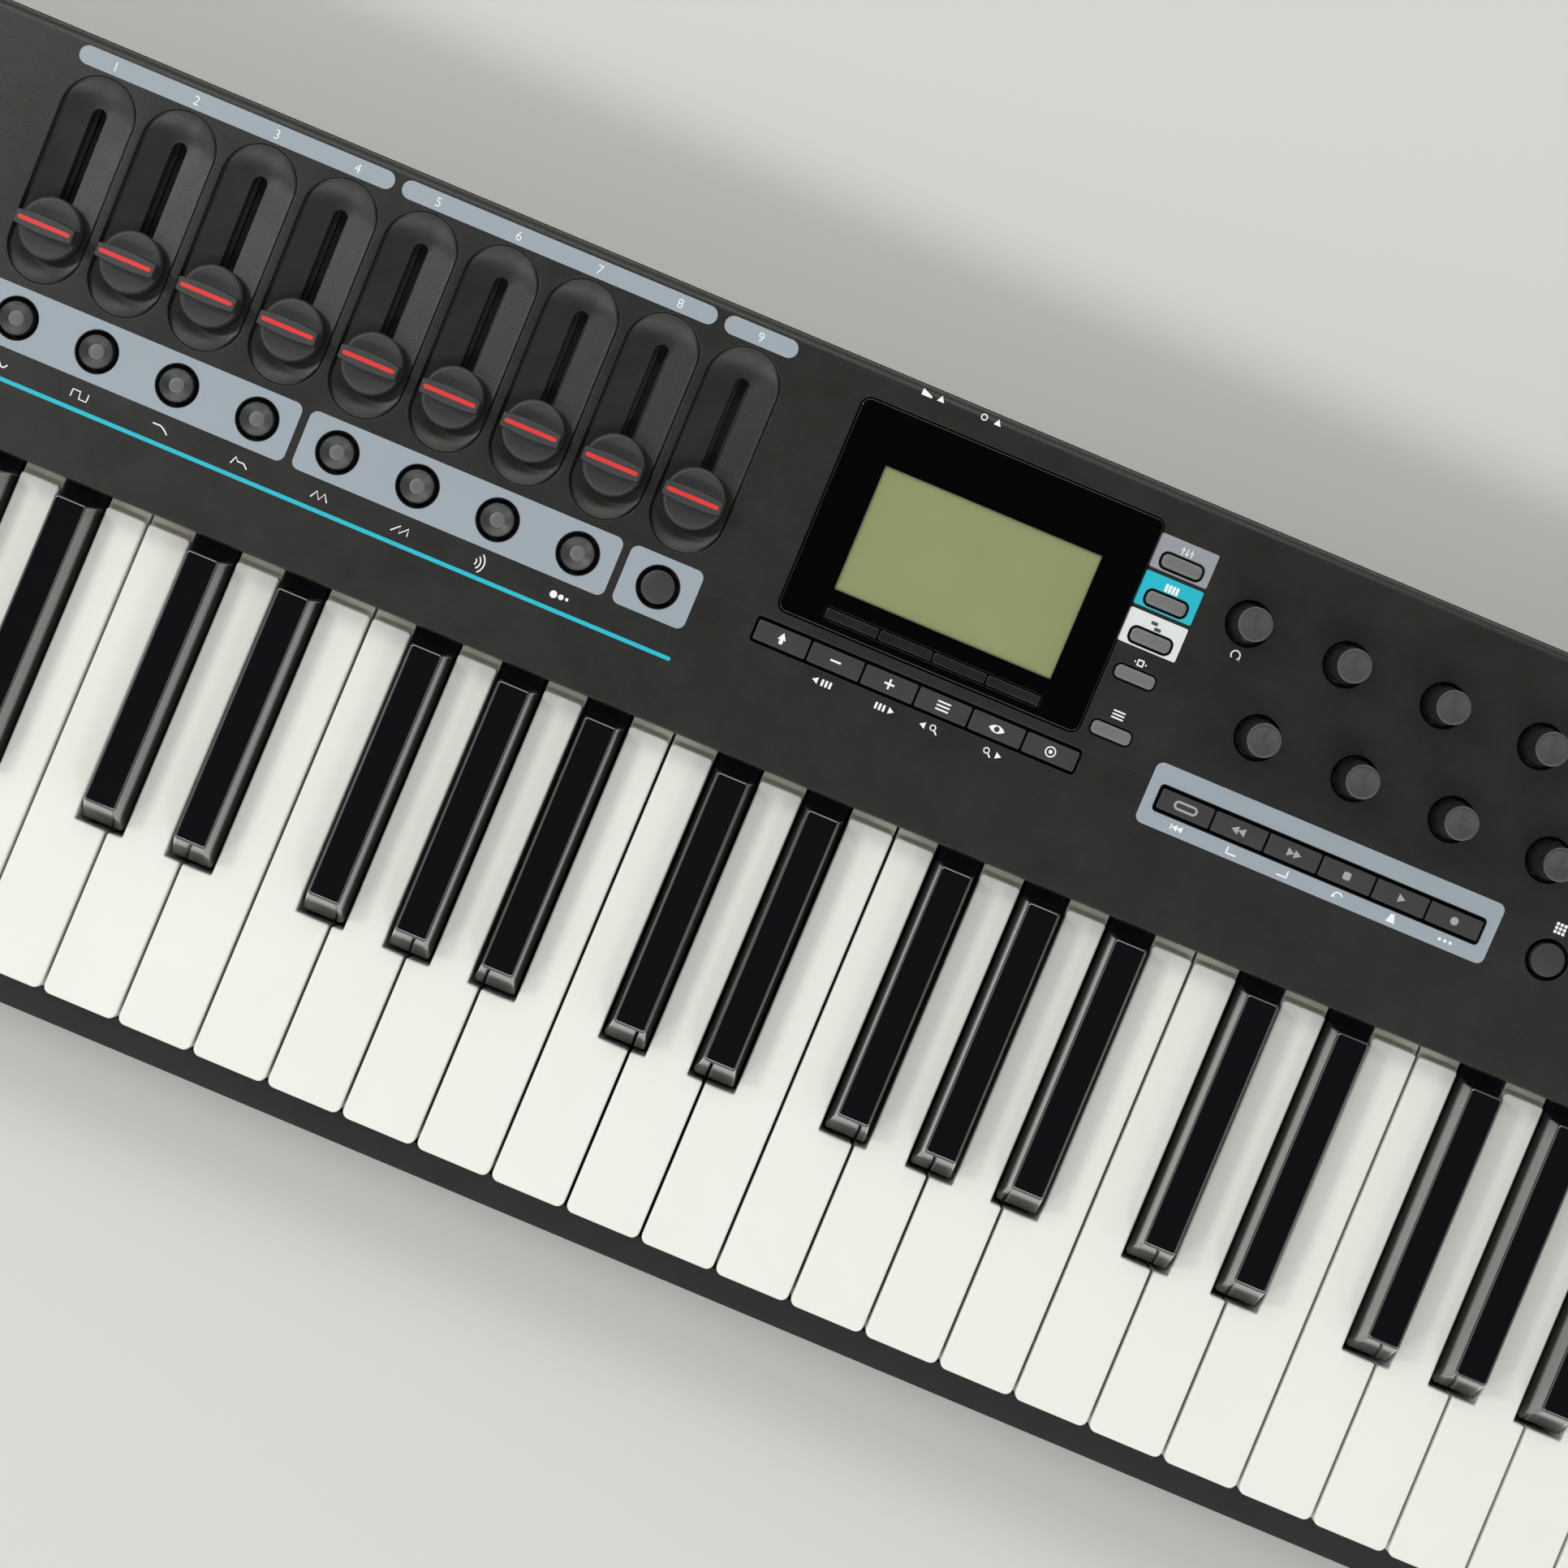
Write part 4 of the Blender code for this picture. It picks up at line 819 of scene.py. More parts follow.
def recess_basin():
    """One fader's basin: steep sides, ends that scoop up, and a slot through its floor."""
    seam = 0.15
    size = (RECESS_WIDTH - 2 * seam, RECESS_LENGTH - 2 * seam)
    outline = rounded((0, 0), size, RECESS_WIDTH / 2 - seam, 12)
    reach = (RECESS_WIDTH - SLOT_WIDTH) / 2 - seam
    straight = RECESS_LENGTH / 2 - RECESS_WIDTH / 2
    lip = -0.35
    rings = []
    for share in (0, 0.02, 0.06, 0.1, 0.16, 0.24, 0.32, 0.42, 0.52, 0.62, 0.72, 0.82, 0.9, 0.96, 1):
        ring_points = []
        for (x, y), rim in zip(inset(outline, reach * share), outline):
            end = max(0.0, abs(rim[1]) - straight) / (RECESS_WIDTH / 2)
            scoop = min(1.0, end * 1.3) ** 1.5
            side_fall = min(SIDE_STEP * share * reach / SIDE_RUN, SIDE_STEP + (1 - SIDE_STEP) * share)
            fall = side_fall + (share * (2 - share) - side_fall) * scoop
            ring_points.append((x, y, lip - (RECESS_DEPTH + lip) * fall))
        rings.append(ring_points)
    slot_edge = [(x, y) for x, y, z in rings[-1]]
    under = -RECESS_DEPTH - 2.2
    wall = [level(outline, under), level(outline, lip - 0.12)]
    inside = [[(x, y, -RECESS_DEPTH - 0.25) for x, y in inset(slot_edge, 0.12)]]
    return hoop([*wall, *rings, *inside, level(inset(slot_edge, 0.12), under), level(outline, under)])


def build_fader_bed():
    basin = recess_basin()
    parts = [(shifted(basin, x, RECESS_Y), PANEL_PLASTIC) for x in FADER_XS]
    piece("fader_bed", parts, place=PANEL)


def mark(icon, x, y, scale=1.0, low=PRINT):
    return flat_shapes(moved(icon, x, y, scale), low, low + PRINT)


def blue_fields():
    """The number strips, the fields round the buttons, and the field round the transport keys."""
    shapes = []
    for first, last in FADER_SETS:
        left, right = FADER_XS[first] - FIELD_MARGIN, FADER_XS[last] + FIELD_MARGIN
        centre, width = (left + right) / 2, right - left
        shapes.append([rounded((centre, NUMBER_STRIP_Y), (width, STRIP_HEIGHT), STRIP_HEIGHT / 2)])
        field = [rounded((centre, BUTTON_ROW_Y), (width, FIELD_HEIGHT), 2.4)]
        field += [circle((x, BUTTON_ROW_Y), ROUND_HOLE_RADIUS + 0.36) for x in FADER_XS[first : last + 1]]
        shapes.append(field)
    slot = rounded((TRANSPORT_X, ROW_KEYS.y), grown(ROW_SLOT, 0.7), 1.35)
    shapes.append([rounded((TRANSPORT_X, ROW_KEYS.y + 0.5), (107.6, 18.5), 2.2), slot])
    return shapes


def key_notes():
    """White icons below the two rows of keys."""
    key_xs = row_of(ROW_KEYS.x, 6, KEY_PITCH_IN_ROW)
    notes = []
    for i, side, icon in ((1, -1, BANK), (2, 1, BANK), (3, -1, LENS), (4, 1, LENS)):
        arrow = triangle(side * 3.2, 0, 1.15, 90 + 90 * -side)
        notes.append(mark([arrow, *icon], key_xs[i], ROW_KEYS.y - 7.0))
    for icon, x in zip(TRANSPORT_NOTES, row_of(TRANSPORT_X, 6, KEY_PITCH_IN_ROW)):
        notes.append(mark(icon, x, ROW_KEYS.y - 6.3, 1.1))
    return notes


def white_marks():
    marks = [numeral(str(number), x, NUMBER_STRIP_Y, 2.9) for number, x in enumerate(FADER_XS, 1)]
    marks += [mark(icon, x, ICON_Y) for icon, x in zip(BUTTON_ICONS, FADER_XS)]
    marks += key_notes()
    for name, icon in (("pedal_1", PEDAL), ("pedal_2", SWITCH)):
        shapes = [*moved(icon, -2.6, 0), triangle(1.6, -0.2, 1.25, 90)]
        marks.append(mark(shapes, SOCKETS[name].x, RECESS_Y + 38))
    marks.append(mark(TURN, ENCODERS[0].x, ENCODERS[0].y - 9.6))
    marks.append(mark(PAD_GRID, BANK_X, BUTTON_ROW_Y + 9.6))
    for icon, i, lift in ((SLIDERS, 0, 4.2), (PIANO, 1, 4.2), (CHIP, 3, 4.2), (MENU, 4, 5.4)):
        marks.append(mark(icon, MODE_X, MODE_YS[i] + lift, 0.9))
    return marks


def mode_patches():
    """Coloured fields round the first three mode keys."""
    patches = []
    for y, finish in zip(MODE_YS, (LILAC_GREY_INK, CYAN_INK, PALE_INK)):
        hole = rounded((MODE_X, y), grown(MODE_CAP, 1.5), 2.2)
        patch = rounded((MODE_X, y + 1.9), (17.6, 10.2), 0.5, 2)
        patches.append((flat_shapes([patch, hole], -PRINT / 2, PRINT), finish))
    return patches


def build_prints():
    parts = [(flat_shapes(shape, -PRINT / 2, PRINT), BLUE_GREY_INK) for shape in blue_fields()]
    parts += [(mesh, WHITE_INK) for mesh in white_marks()]
    width = FADER_XS[8] - FADER_XS[0] + 2 * FIELD_MARGIN
    line = rounded(((FADER_XS[0] + FADER_XS[8]) / 2, LINE_Y), (width, 1.2), 0.55)
    parts.append((flat_shapes([line], -PRINT / 2, PRINT), CYAN_INK))
    parts.append((mark(STACK, MODE_X, MODE_YS[2] + 4.2, 0.9), DARK_INK))
    piece("panel_prints", parts + mode_patches(), place=PANEL)


# Display


SOFT_ROW_SIZE = (3 * KEY_PITCH_IN_ROW + SOFT_KEY[0], SOFT_KEY[1])


def lcd_plate(margin, radius, low, high, edge, steps=6):
    return plate(rounded(LCD.to_2d(), grown(LCD_SIZE, margin), radius, steps), low, high, edge)


def build_display():
    window = rounded(LCD.to_2d(), LCD_SIZE, 0.15, 2)
    soft_slot = rounded(SOFT_ROW.to_2d(), grown(SOFT_ROW_SIZE, HOLE_GAP), 1.4)
    outline = rounded(middle(DISPLAY).to_2d(), DISPLAY_SIZE, 2.7)
    bezel = perforated(outline, [window, soft_slot], -1.0, 0.8, 0.45, 0.45, 0.16)
    piece("display_cover", [(bezel, GLOSS_BLACK)], place=PANEL, replaces=["display_bezel"])
    glass = lcd_plate(1.2, 0.3, -1.2, -0.1, 0.05, 2)
    body = lcd_plate(6, 0.8, -9, -PANEL_SKIN - 0.3, 0.4)
    shelf = lcd_plate(2, 0.4, -4, -1.3, 0.1)
    parts = [(glass, LCD_GREEN), (body, STEEL), (shelf, STEEL)]
    piece("lcd_panel", parts, place=PANEL, replaces=["lcd_module"])


def build_soft_keys():
    sheet = plate(rounded(SOFT_ROW.to_2d(), (SOFT_ROW_SIZE[0] + 6, 6), 1.0), -4.8, -4, 0.1)
    parts = [(sheet, DARK_SILICONE)]
    for x in row_of(SOFT_ROW.x, 4, KEY_PITCH_IN_ROW):
        key = plate(rounded((x, SOFT_ROW.y), SOFT_KEY, 0.5, 3), -4.2, 0.95, 0.3)
        parts.append((key, SOFT_PLASTIC))
    piece("soft_keys", parts, "soft_key_pad", PANEL, ["soft_key_pad"])


# Keypads


def keypad(name, node, parts):
    """A soft moulding: buttons over a common silicone sheet under the panel."""
    low, high = panel_box(node)
    centre = ((low.x + high.x) / 2, (low.y + high.y) / 2)
    sheet = plate(rounded(centre, (high.x - low.x, high.y - low.y), 1.5), -5.8, -4.8, 0.2)
    piece(name, [(sheet, DARK_SILICONE), *parts], node, PANEL, [node])


def round_button(*shoulder):
    """A round button. shoulder is (radius, z), from its side to the middle of its top."""
    return turned([(0, BUTTON_FOOT), (ROUND_CAP_RADIUS, BUTTON_FOOT), *shoulder])


SHOULDER = ((ROUND_CAP_RADIUS, 0.75), (4.75, 1.05), (4.4, 1.2))


def build_round_buttons():
    rim = ((ROUND_CAP_RADIUS, 0.8), (4.8, 1.08), (4.62, 1.2), (4.4, 1.16), (4.25, 1.02))
    dish = round_button(*rim, (2.35, 0.45), (2.3, 0.2), (0, 0.2))
    dot = turned([(0, 0), (2.28, 0), (2.28, 0.56), (2.1, 0.66), (1.2, 0.72), (0, 0.74)], 32)
    flat = round_button(*SHOULDER, (3.0, 1.26), (0, 1.3))
    parts = []
    for x in FADER_XS[:8]:
        parts.append((shifted(dish, x, BUTTON_ROW_Y), SMOKED_CLEAR))
        parts.append((shifted(dot, x, BUTTON_ROW_Y), LIGHT_DOT))
    parts.append((shifted(flat, FADER_XS[8], BUTTON_ROW_Y), BUTTON_PLASTIC))
    keypad("round_buttons", "round_button_pad", parts)


def key_row(x, icons, finish):
    parts = []
    for key_x, icon in zip(row_of(x, 6, KEY_PITCH_IN_ROW), icons):
        outline = rounded((key_x, ROW_KEYS.y), ROW_KEY, 0.5, 3)
        parts.append((plate(outline, BUTTON_FOOT, BUTTON_TOP, 0.35), BUTTON_PLASTIC))
        parts.append((mark(icon, key_x, ROW_KEYS.y, 0.95, BUTTON_TOP - 0.01), finish))
    return parts


def build_key_rows():
    keypad("row_keys", "row_button_pad", key_row(ROW_KEYS.x, ROW_ICONS, WHITE_INK))
    bank = round_button(*SHOULDER, (0, 1.3))
    parts = key_row(TRANSPORT_X, TRANSPORT_ICONS, ICON_GREY)
    parts.append((shifted(bank, BANK_X, BUTTON_ROW_Y), BUTTON_PLASTIC))
    keypad("transport_keys", "transport_button_pad", parts)


def build_mode_keys():
    outlines = [rounded((MODE_X, y), MODE_CAP, 1.5) for y in MODE_YS]
    parts = [(plate(outline, BUTTON_FOOT, BUTTON_TOP, 0.7, 5), GREY_KEY) for outline in outlines]
    keypad("mode_keys", "mode_button_pad", parts)


def build_drum_pads():
    parts = []
    edge = 0.9
    for place in PAD_PLACES:
        outline = rounded(place, (PAD_SIZE, PAD_SIZE), 2.0)
        rings = [level(outline, BUTTON_FOOT), *edge_rings(outline, 1.7, edge)]
        rings.append(level(inset(outline, edge + edge), 1.88))
        parts.append((loft(rings), PAD_RUBBER))
    keypad("drum_pads", "drum_pad_sheet", parts)


def build_octave_keys():
    parts = []
    for (x, y), angle in zip(OCTAVE_PLACES, (180, 180, 0, 0)):
        key = plate(rounded((x, y), OCTAVE_CAP, 0.9), BUTTON_FOOT, BUTTON_TOP, 0.6, 4)
        parts.append((key, GREY_KEY))
        parts.append((mark([triangle(0, 0, 1.3, angle)], x, y, 1.0, BUTTON_TOP - 0.01), WHITE_INK))
    keypad("octave_keys", "octave_button_pad", parts)


# Faders and encoders


def lens(half_length, half_end, half_middle, steps=10):
    """Two shallow arcs that meet two short straight ends."""
    bow = half_middle - half_end
    shares = [1 - 2 * i / steps for i in range(steps + 1)]
    top = [(half_length * share, half_end + bow * (1 - share**2)) for share in shares]
    return top + [(-x, -y) for x, y in top]


def fader_cap():
    foot = [(0, -0.5), (8.7, -0.5), (9.0, -0.2)]
    crown = [(9.0, 2.2), (8.85, 2.75), (8.4, 3.1), (7.8, 3.2), (5.0, 2.95), (0, 2.85)]
    disc = turned(foot + crown, 64)
    outline = lens(8.8, 1.9, 2.6)
    rings = [level(inset(outline, -0.3), 2.7), level(inset(outline, -0.15), 4.4)]
    rings += edge_rings(outline, 8.5, 0.35, steps=3)
    ridge = loft(rings)
    stem = plate(rounded((0, 0), (3.0, 3.8), 0.3, 2), -6.2, -0.3, 0.1)
    line = plate(rounded((0, 0), (15.8, 1.25), 0.6, 4), 8.3, 8.56, 0.1)
    return [(disc, CAP_RUBBER), (ridge, CAP_RUBBER), (stem, CAP_RUBBER), (line, RED_INSERT)]


def build_faders():
    parts = fader_cap()
    for number, cap in enumerate(CAPS, 1):
        place = PANEL @ Matrix.Translation((cap.x, cap.y, 0))
        name = f"fader_cap_{number}"
        piece(f"fader_knob_{number}", parts, name, place, [name])


def encoder_knob():
    side = turned([(0, -1.5), (5.5, -1.5), (5.65, -1.2), (4.9, 14.2), (4.8, 14.3), (0, 14.3)], 64)
    rim = [(0, 14.1), (4.85, 14.1), (4.88, 14.7), (4.8, 14.9), (4.6, 14.98)]
    top = turned([*rim, (3.6, 14.86), (2.4, 14.74), (1.2, 14.66), (0, 14.63)], 64)
    return [(side, KNOB_RUBBER), (top, KNOB_TOP)]


def build_encoders():
    parts = encoder_knob()
    collar = tube(6.62, 5.9, -6.5, -1.0, 0.3, 48)
    wells = []
    for number, (x, y) in enumerate(ENCODERS, 1):
        name = f"encoder_knob_{number}"
        place = PANEL @ Matrix.Translation((x, y, 0))
        piece(f"encoder_cap_{number}", parts, name, place, [name])
        wells.append((shifted(collar, x, y), GLOSS_BLACK))
    piece("encoder_collars", wells, place=PANEL)


# Keys


def white_corners(start, end, lane, rear):
    """Corners of a white key's plan: x, y, radius, and the way in along x and y."""
    corners = [(start, WHITE_FRONT, 2.3, 1, 1), (end, WHITE_FRONT, 2.3, -1, 1)]
    if lane[1] < end:
        corners += [(end, NOTCH_FRONT, 0.7, -1, -1), (lane[1], NOTCH_FRONT, -0.6, -1, -1)]
    corners += [(lane[1], rear, 1.1, -1, -1), (lane[0], rear, 1.1, 1, -1)]
    if lane[0] > start:
        corners += [(lane[0], NOTCH_FRONT, -0.6, 1, -1), (start, NOTCH_FRONT, 0.7, 1, -1)]
    return corners


def corner_ring(corners, shrink, z, steps=5):
    """A ring through the corners moved inwards by shrink. A negative radius is an inner corner's."""
    spots = [(x + in_x * shrink, y + in_y * shrink, r) for x, y, r, in_x, in_y in corners]
    points = []
    for i, (x, y, radius) in enumerate(spots):
        here = Vector((x, y))
        came = (here - Vector(spots[i - 1][:2])).normalized()
        goes = (Vector(spots[(i + 1) % len(spots)][:2]) - here).normalized()
        size = max(abs(radius) - shrink, 0.15) if radius > 0 else abs(radius) + shrink
        centre = here - came * size + goes * size
        for k in range(steps + 1):
            angle = math.pi / 2 * k / steps
            point = centre - goes * size * math.cos(angle) + came * size * math.sin(angle)
            points.append((point.x, point.y, z))
    return points


def lane_of(left, note, last):
    start = left + WHITE_PLACES[note] * WHITE_PITCH + KEY_GAP / 2
    end = start + WHITE_PITCH - KEY_GAP
    lane = [start, end]
    if note - 1 in BLACK_AFTER:
        lane[0] = black_x(left, note - 1) + NOTCH_WIDTH / 2
    if note + 1 in BLACK_AFTER and not last:
        lane[1] = black_x(left, note + 1) - NOTCH_WIDTH / 2
    return start, end, lane


def black_x(left, note):
    return left + BLACK_AFTER[note] * WHITE_PITCH + BLACK_SHIFTS[note]


def white_key(left, note, last=False):
    """A hollow key with a lower tail that runs back under the panel."""
    start, end, lane = lane_of(left, note, last)
    play = white_corners(start, end, lane, WHITE_REAR)
    tail = white_corners(start, end, lane, TAIL_REAR)
    hollow = white_corners(start, end, lane, WHITE_REAR - 3)
    rings = [corner_ring(hollow, 1.4, z) for z in (WHITE_TOP - 2, WHITE_BOTTOM)]
    rings += [corner_ring(tail, 0, z) for z in (WHITE_BOTTOM, STEP_TOP)]
    rings.append(corner_ring(play, 0, STEP_TOP))
    for k in range(5):
        angle = math.pi / 8 * k
        drop = KEY_EDGE * (1 - math.sin(angle))
        rings.append(corner_ring(play, KEY_EDGE * (1 - math.cos(angle)), WHITE_TOP - drop))
    # The step is the key's own ivory with painted shade: a darker copy of the white plastic.
    low = (lane[0] + 0.02, WHITE_REAR + 0.02, STEP_TOP - 1)
    step = block(low, (lane[1] - 0.02, TAIL_REAR - 1, STEP_TOP + 0.06), 0.2)
    return [(loft(rings), WHITE_PLASTIC), (step, IVORY_PAINTED_SHADE)]


def black_corners(x, half, front, rear, radius):
    front_pair = [(x - half, front, radius, 1, 1), (x + half, front, radius, -1, 1)]
    return front_pair + [(x + half, rear, radius, -1, -1), (x - half, rear, radius, 1, -1)]


def black_ring(x, z, shrink=0.0):
    """A ring round the tapered head of a black key."""
    share = (z - BLACK_BASE["z"]) / (BLACK_HEAD["z"] - BLACK_BASE["z"])
    half, front, rear = (
        BLACK_BASE[key] + (BLACK_HEAD[key] - BLACK_BASE[key]) * share for key in ("half", "front", "rear")
    )
    return corner_ring(black_corners(x, half, front, rear, 1.0), shrink, z)


def black_key(left, note):
    x = black_x(left, note)
    half, front = BLACK_BASE["half"] - 0.2, BLACK_BASE["front"] + 0.6
    tail = black_corners(x, half, front, TAIL_REAR, 0.8)
    under = black_corners(x, half, front, BLACK_BASE["rear"], 0.8)
    rings = [corner_ring(tail, 0, z) for z in (BLACK_FOOT, STEP_TOP)]
    rings += [corner_ring(under, 0, STEP_TOP), black_ring(x, STEP_TOP + 0.01)]
    for k in range(7):
        angle = math.pi / 12 * k
        z = BLACK_HEAD["z"] - KEY_EDGE * (1 - math.sin(angle))
        rings.append(black_ring(x, z, KEY_EDGE * (1 - math.cos(angle)) * 0.95))
    return [(loft(rings), BLACK_PLASTIC)]


def hinge_strip(left, group, lanes, whole):
    """The thin arms behind the keys and the strip that joins them."""
    low, high = ARM_HEIGHTS[group] + 0.2, ARM_HEIGHTS[group] + 1.8
    # White keys' arms take the ivory darkened as painted shade.
    finish = BLACK_PLASTIC if group == "black" else IVORY_PAINTED_SHADE
    parts = [(block((a + 0.5, TAIL_REAR - 1, low), (b - 0.5, ARM_REAR, high), 0.3), finish) for a, b in lanes]
    if whole:
        right = max(max(b for a, b in lanes) - 0.5, left + OCTAVE_WIDTH - 1)
        strip = block((left + 1, TAIL_REAR + 3, low - 0.1), (right, ARM_REAR - 1, high + 0.1), 0.3)
        parts.append((strip, finish))
    return parts


def keys_on_hinge(left, group, notes, top_c):
    """Meshes of the keys that share a hinge, and their lanes. top_c adds the C over the octave."""
    parts, lanes = [], []
    for note in notes:
        if group == "black":
            x = black_x(left, note)
            parts += black_key(left, note)
            lanes.append((x - BLACK_TAIL_HALF, x + BLACK_TAIL_HALF))
        else:
            parts += white_key(left, note)
            lanes.append(lane_of(left, note, False)[2])
    if top_c:
        parts += white_key(left + OCTAVE_WIDTH, 0, last=True)
        lanes.append(lane_of(left + OCTAVE_WIDTH, 0, True)[2])
    return parts, lanes


def build_key(node, group, octave, notes):
    """A strip of keys, or a single key, with the arms and the strip behind."""
    left = KEYS_LEFT + (octave - 1) * OCTAVE_WIDTH
    parts, lanes = keys_on_hinge(left, group, notes, node == "keys_c_e_g_b_4")
    parts += hinge_strip(left, group, lanes, len(notes) > 1)
    piece(node.replace("key", "played_key", 1), parts, node, replaces=[node], sharp=50)


def build_keys():
    for octave in (1, 2, 3, 4):
        for group, notes in GROUPS.items():
            if octave == SINGLE_KEYS_OCTAVE:
                for note in notes:
                    build_key(f"key_{NOTE_NAMES[note]}_{octave}", group, octave, (note,))
            else:
                build_key(f"keys_{group}_{octave}", group, octave, notes)


# Case


def rim_height(y):
    """Height of the case's upper edge at y, a hair's breadth under the panel's skirt."""
    up_slope = PANEL.to_3x3() @ Vector((0, 1, 0))
    return PANEL.translation.z + (y - PANEL_FRONT_Y) * up_slope.z / up_slope.y - SKIRT - 0.3


def case_belly():
    """A solid with a rolled lower edge, and an upper edge that slants with the panel."""
    size = CASE_HIGH - CASE_LOW
    rings = []
    for k in range(9):
        angle = math.pi / 16 * k
        tuck = 1 - math.sin(angle)
        outline = rounded((0, 0), (size.x - 7 * tuck, size.y - 12 * tuck), 7 - 2 * tuck, 8)
        rings.append(level(outline, CASE_LOW.z + 9 * (1 - math.cos(angle))))
    outline = rounded((0, 0), (size.x, size.y), 7, 8)
    for shrink, drop in ((0, 0.8), (0.12, 0.35), (0.4, 0.1), (0.8, 0)):
        rings.append([(x, y, rim_height(y) - drop) for x, y in inset(outline, shrink)])
    return loft(rings)


def case_hollow():
    side, rear, floor = CASE_HIGH.x - WALL, CASE_HIGH.y - WALL, CASE_LOW.z + WALL
    outline = [
        (-side, LIP_REAR), (BAY_LEFT - WALL, LIP_REAR), (BAY_LEFT - WALL, BAY_WALL_REAR),
        (BAY_LEFT, BAY_WALL_REAR), (BAY_LEFT, LIP_REAR), (BAY_RIGHT, LIP_REAR),
        (BAY_RIGHT, BAY_WALL_REAR), (BAY_RIGHT + WALL, BAY_WALL_REAR),
        (BAY_RIGHT + WALL, LIP_REAR), (side, LIP_REAR), (side, rear), (-side, rear),
    ]
    return loft([level(outline, floor), level(outline, 100)])


SUNK_LEFT, SUNK_RIGHT = SOCKETS["pedal_1"].x - 12, SWITCH_X + 12
SUNK_LOW, SUNK_HIGH = SOCKET_Z - 13, SOCKET_Z + 14


def socket_holes():
    """Tools for the holes in the sunk face."""
    round_holes = (("pedal_1", 5), ("pedal_2", 5), ("midi", 8), ("power", 4.6))
    tools = [at_rear(drum(radius, -5, 5), SOCKETS[name].x) for name, radius in round_holes]
    for x, half, high in ((SOCKETS["usb"].x, 6.2, 5.7), (SWITCH_X, 6.3, 9.4)):
        low = (x - half, SOCKET_FACE - 5, SOCKET_Z - high)
        tools.append(block(low, (x + half, SOCKET_FACE + 5, SOCKET_Z + high)))
    return tools


def sunk_face():
    """The tool that cuts the socket recess into the rear."""
    centre = ((SUNK_LEFT + SUNK_RIGHT) / 2, (SUNK_LOW + SUNK_HIGH) / 2)
    sunk = plate(rounded(centre, (SUNK_RIGHT - SUNK_LEFT, SUNK_HIGH - SUNK_LOW), 2), -9, 0, 0.05)
    sunk.transform(Matrix.Translation((0, SOCKET_FACE, 0)) @ Matrix.Rotation(math.pi / 2, 4, "X"))
    return sunk


def socket_housing():
    """Two solids that stiffen the case: a housing behind the sunk face, and a shelf over the sockets."""
    inner = SOCKET_FACE - WALL
    low = (SUNK_LEFT - WALL, inner, SUNK_LOW - WALL)
    housing = block(low, (SUNK_RIGHT + WALL, CASE_HIGH.y - 1, SUNK_HIGH + WALL))
    low = (SUNK_LEFT, inner - 12.5, SUNK_HIGH - 1.8)
    return housing, block(low, (SUNK_RIGHT, inner + 0.5, SUNK_HIGH + 0.7))


def build_case():
    bay = block((BAY_LEFT, CASE_LOW.y + WALL, CASE_LOW.z + WALL), (BAY_RIGHT, LIP_REAR + 1, LIP_TOP - 2.5))
    above = block((BAY_LEFT, CASE_LOW.y - 1, LIP_TOP), (BAY_RIGHT, LIP_REAR + 1, 80))
    wells = [shifted(drum(4.2, -1, 2.4, 24), x, y, CASE_LOW.z) for x, y in SCREW_PLACES]
    shell = combined(case_belly(), "DIFFERENCE", case_hollow())
    shell = combined(shell, "DIFFERENCE", bay, above)
    for solid in socket_housing():
        shell = combined(shell, "UNION", solid)
    shell = combined(shell, "DIFFERENCE", sunk_face())
    shell = combined(shell, "DIFFERENCE", *socket_holes(), *wells)
    piece("lower_case", [(shell, CASE_PLASTIC)], replaces=["bottom_case"], sharp=30, bevel=0.5)


def screw_head():
    """A pan head with a cross cut into it, seen from below."""
    head = turned([(0, 0), (2.6, 0), (2.7, -0.4), (2.3, -1.2), (1.4, -1.6), (0, -1.7)], 24)
    cross = [block((-1.5, -0.28, -2), (1.5, 0.28, -0.8)), block((-0.28, -1.5, -2), (0.28, 1.5, -0.8))]
    for slot in cross:
        head = combined(head, "DIFFERENCE", slot)
    return head


def build_screws():
    head = screw_head()
    shank = drum(1.3, 0, 6, 12)
    parts = []
    for x, y in SCREW_PLACES:
        parts.append((shifted(head, x, y, CASE_LOW.z + 2.3), SCREW_METAL))
        parts.append((shifted(shank, x, y, CASE_LOW.z + 2.2), SCREW_METAL))
    piece("case_screws", parts)


def build_feet():
    for node in ("foot_front_left", "foot_front_right", "foot_rear_left", "foot_rear_right"):
        low, high = box(node)
        radius = (high.x - low.x) / 2
        top = high.z - low.z
        profile = [(0, 0.5), (radius - 5.2, 0.5), (radius - 4.6, 0), (radius - 1.6, 0), (radius - 0.9, 0.3)]
        profile += [(radius - 0.6, 1.0), (radius - 0.05, top - 0.3), (radius - 0.3, top), (0, top)]
        place = Matrix.Translation(((low.x + high.x) / 2, (low.y + high.y) / 2, low.z))
        piece(f"rubber_{node}", [(turned(profile), FOOT_RUBBER)], place=place, replaces=[node])


# Sockets and boards


def jack():
    """A 6.35 mm jack's threaded bush and nut, about its own axis."""
    ridges = []
    for k in range(5):
        ridges += [(4.35, -1.0 + 0.6 * k), (4.1, -0.7 + 0.6 * k)]
    profile = [(3.25, -24), (4.2, -24), (4.2, -3.8), *ridges]
    profile += [(4.0, 2.1), (3.5, 2.2), (3.25, 2.0), (3.25, -24)]
    outer, inner = circle((0, 0), 6.3, 6), circle((0, 0), 4.4, 6)
    nut = [level(outer, 0.02), level(outer, 1.2), level(inset(outer, 0.5), 1.5)]
    nut += [level(inner, 1.5), level(inner, 0.02), level(outer, 0.02)]
    return hoop(turned_rings(profile, 32)), hoop(nut)


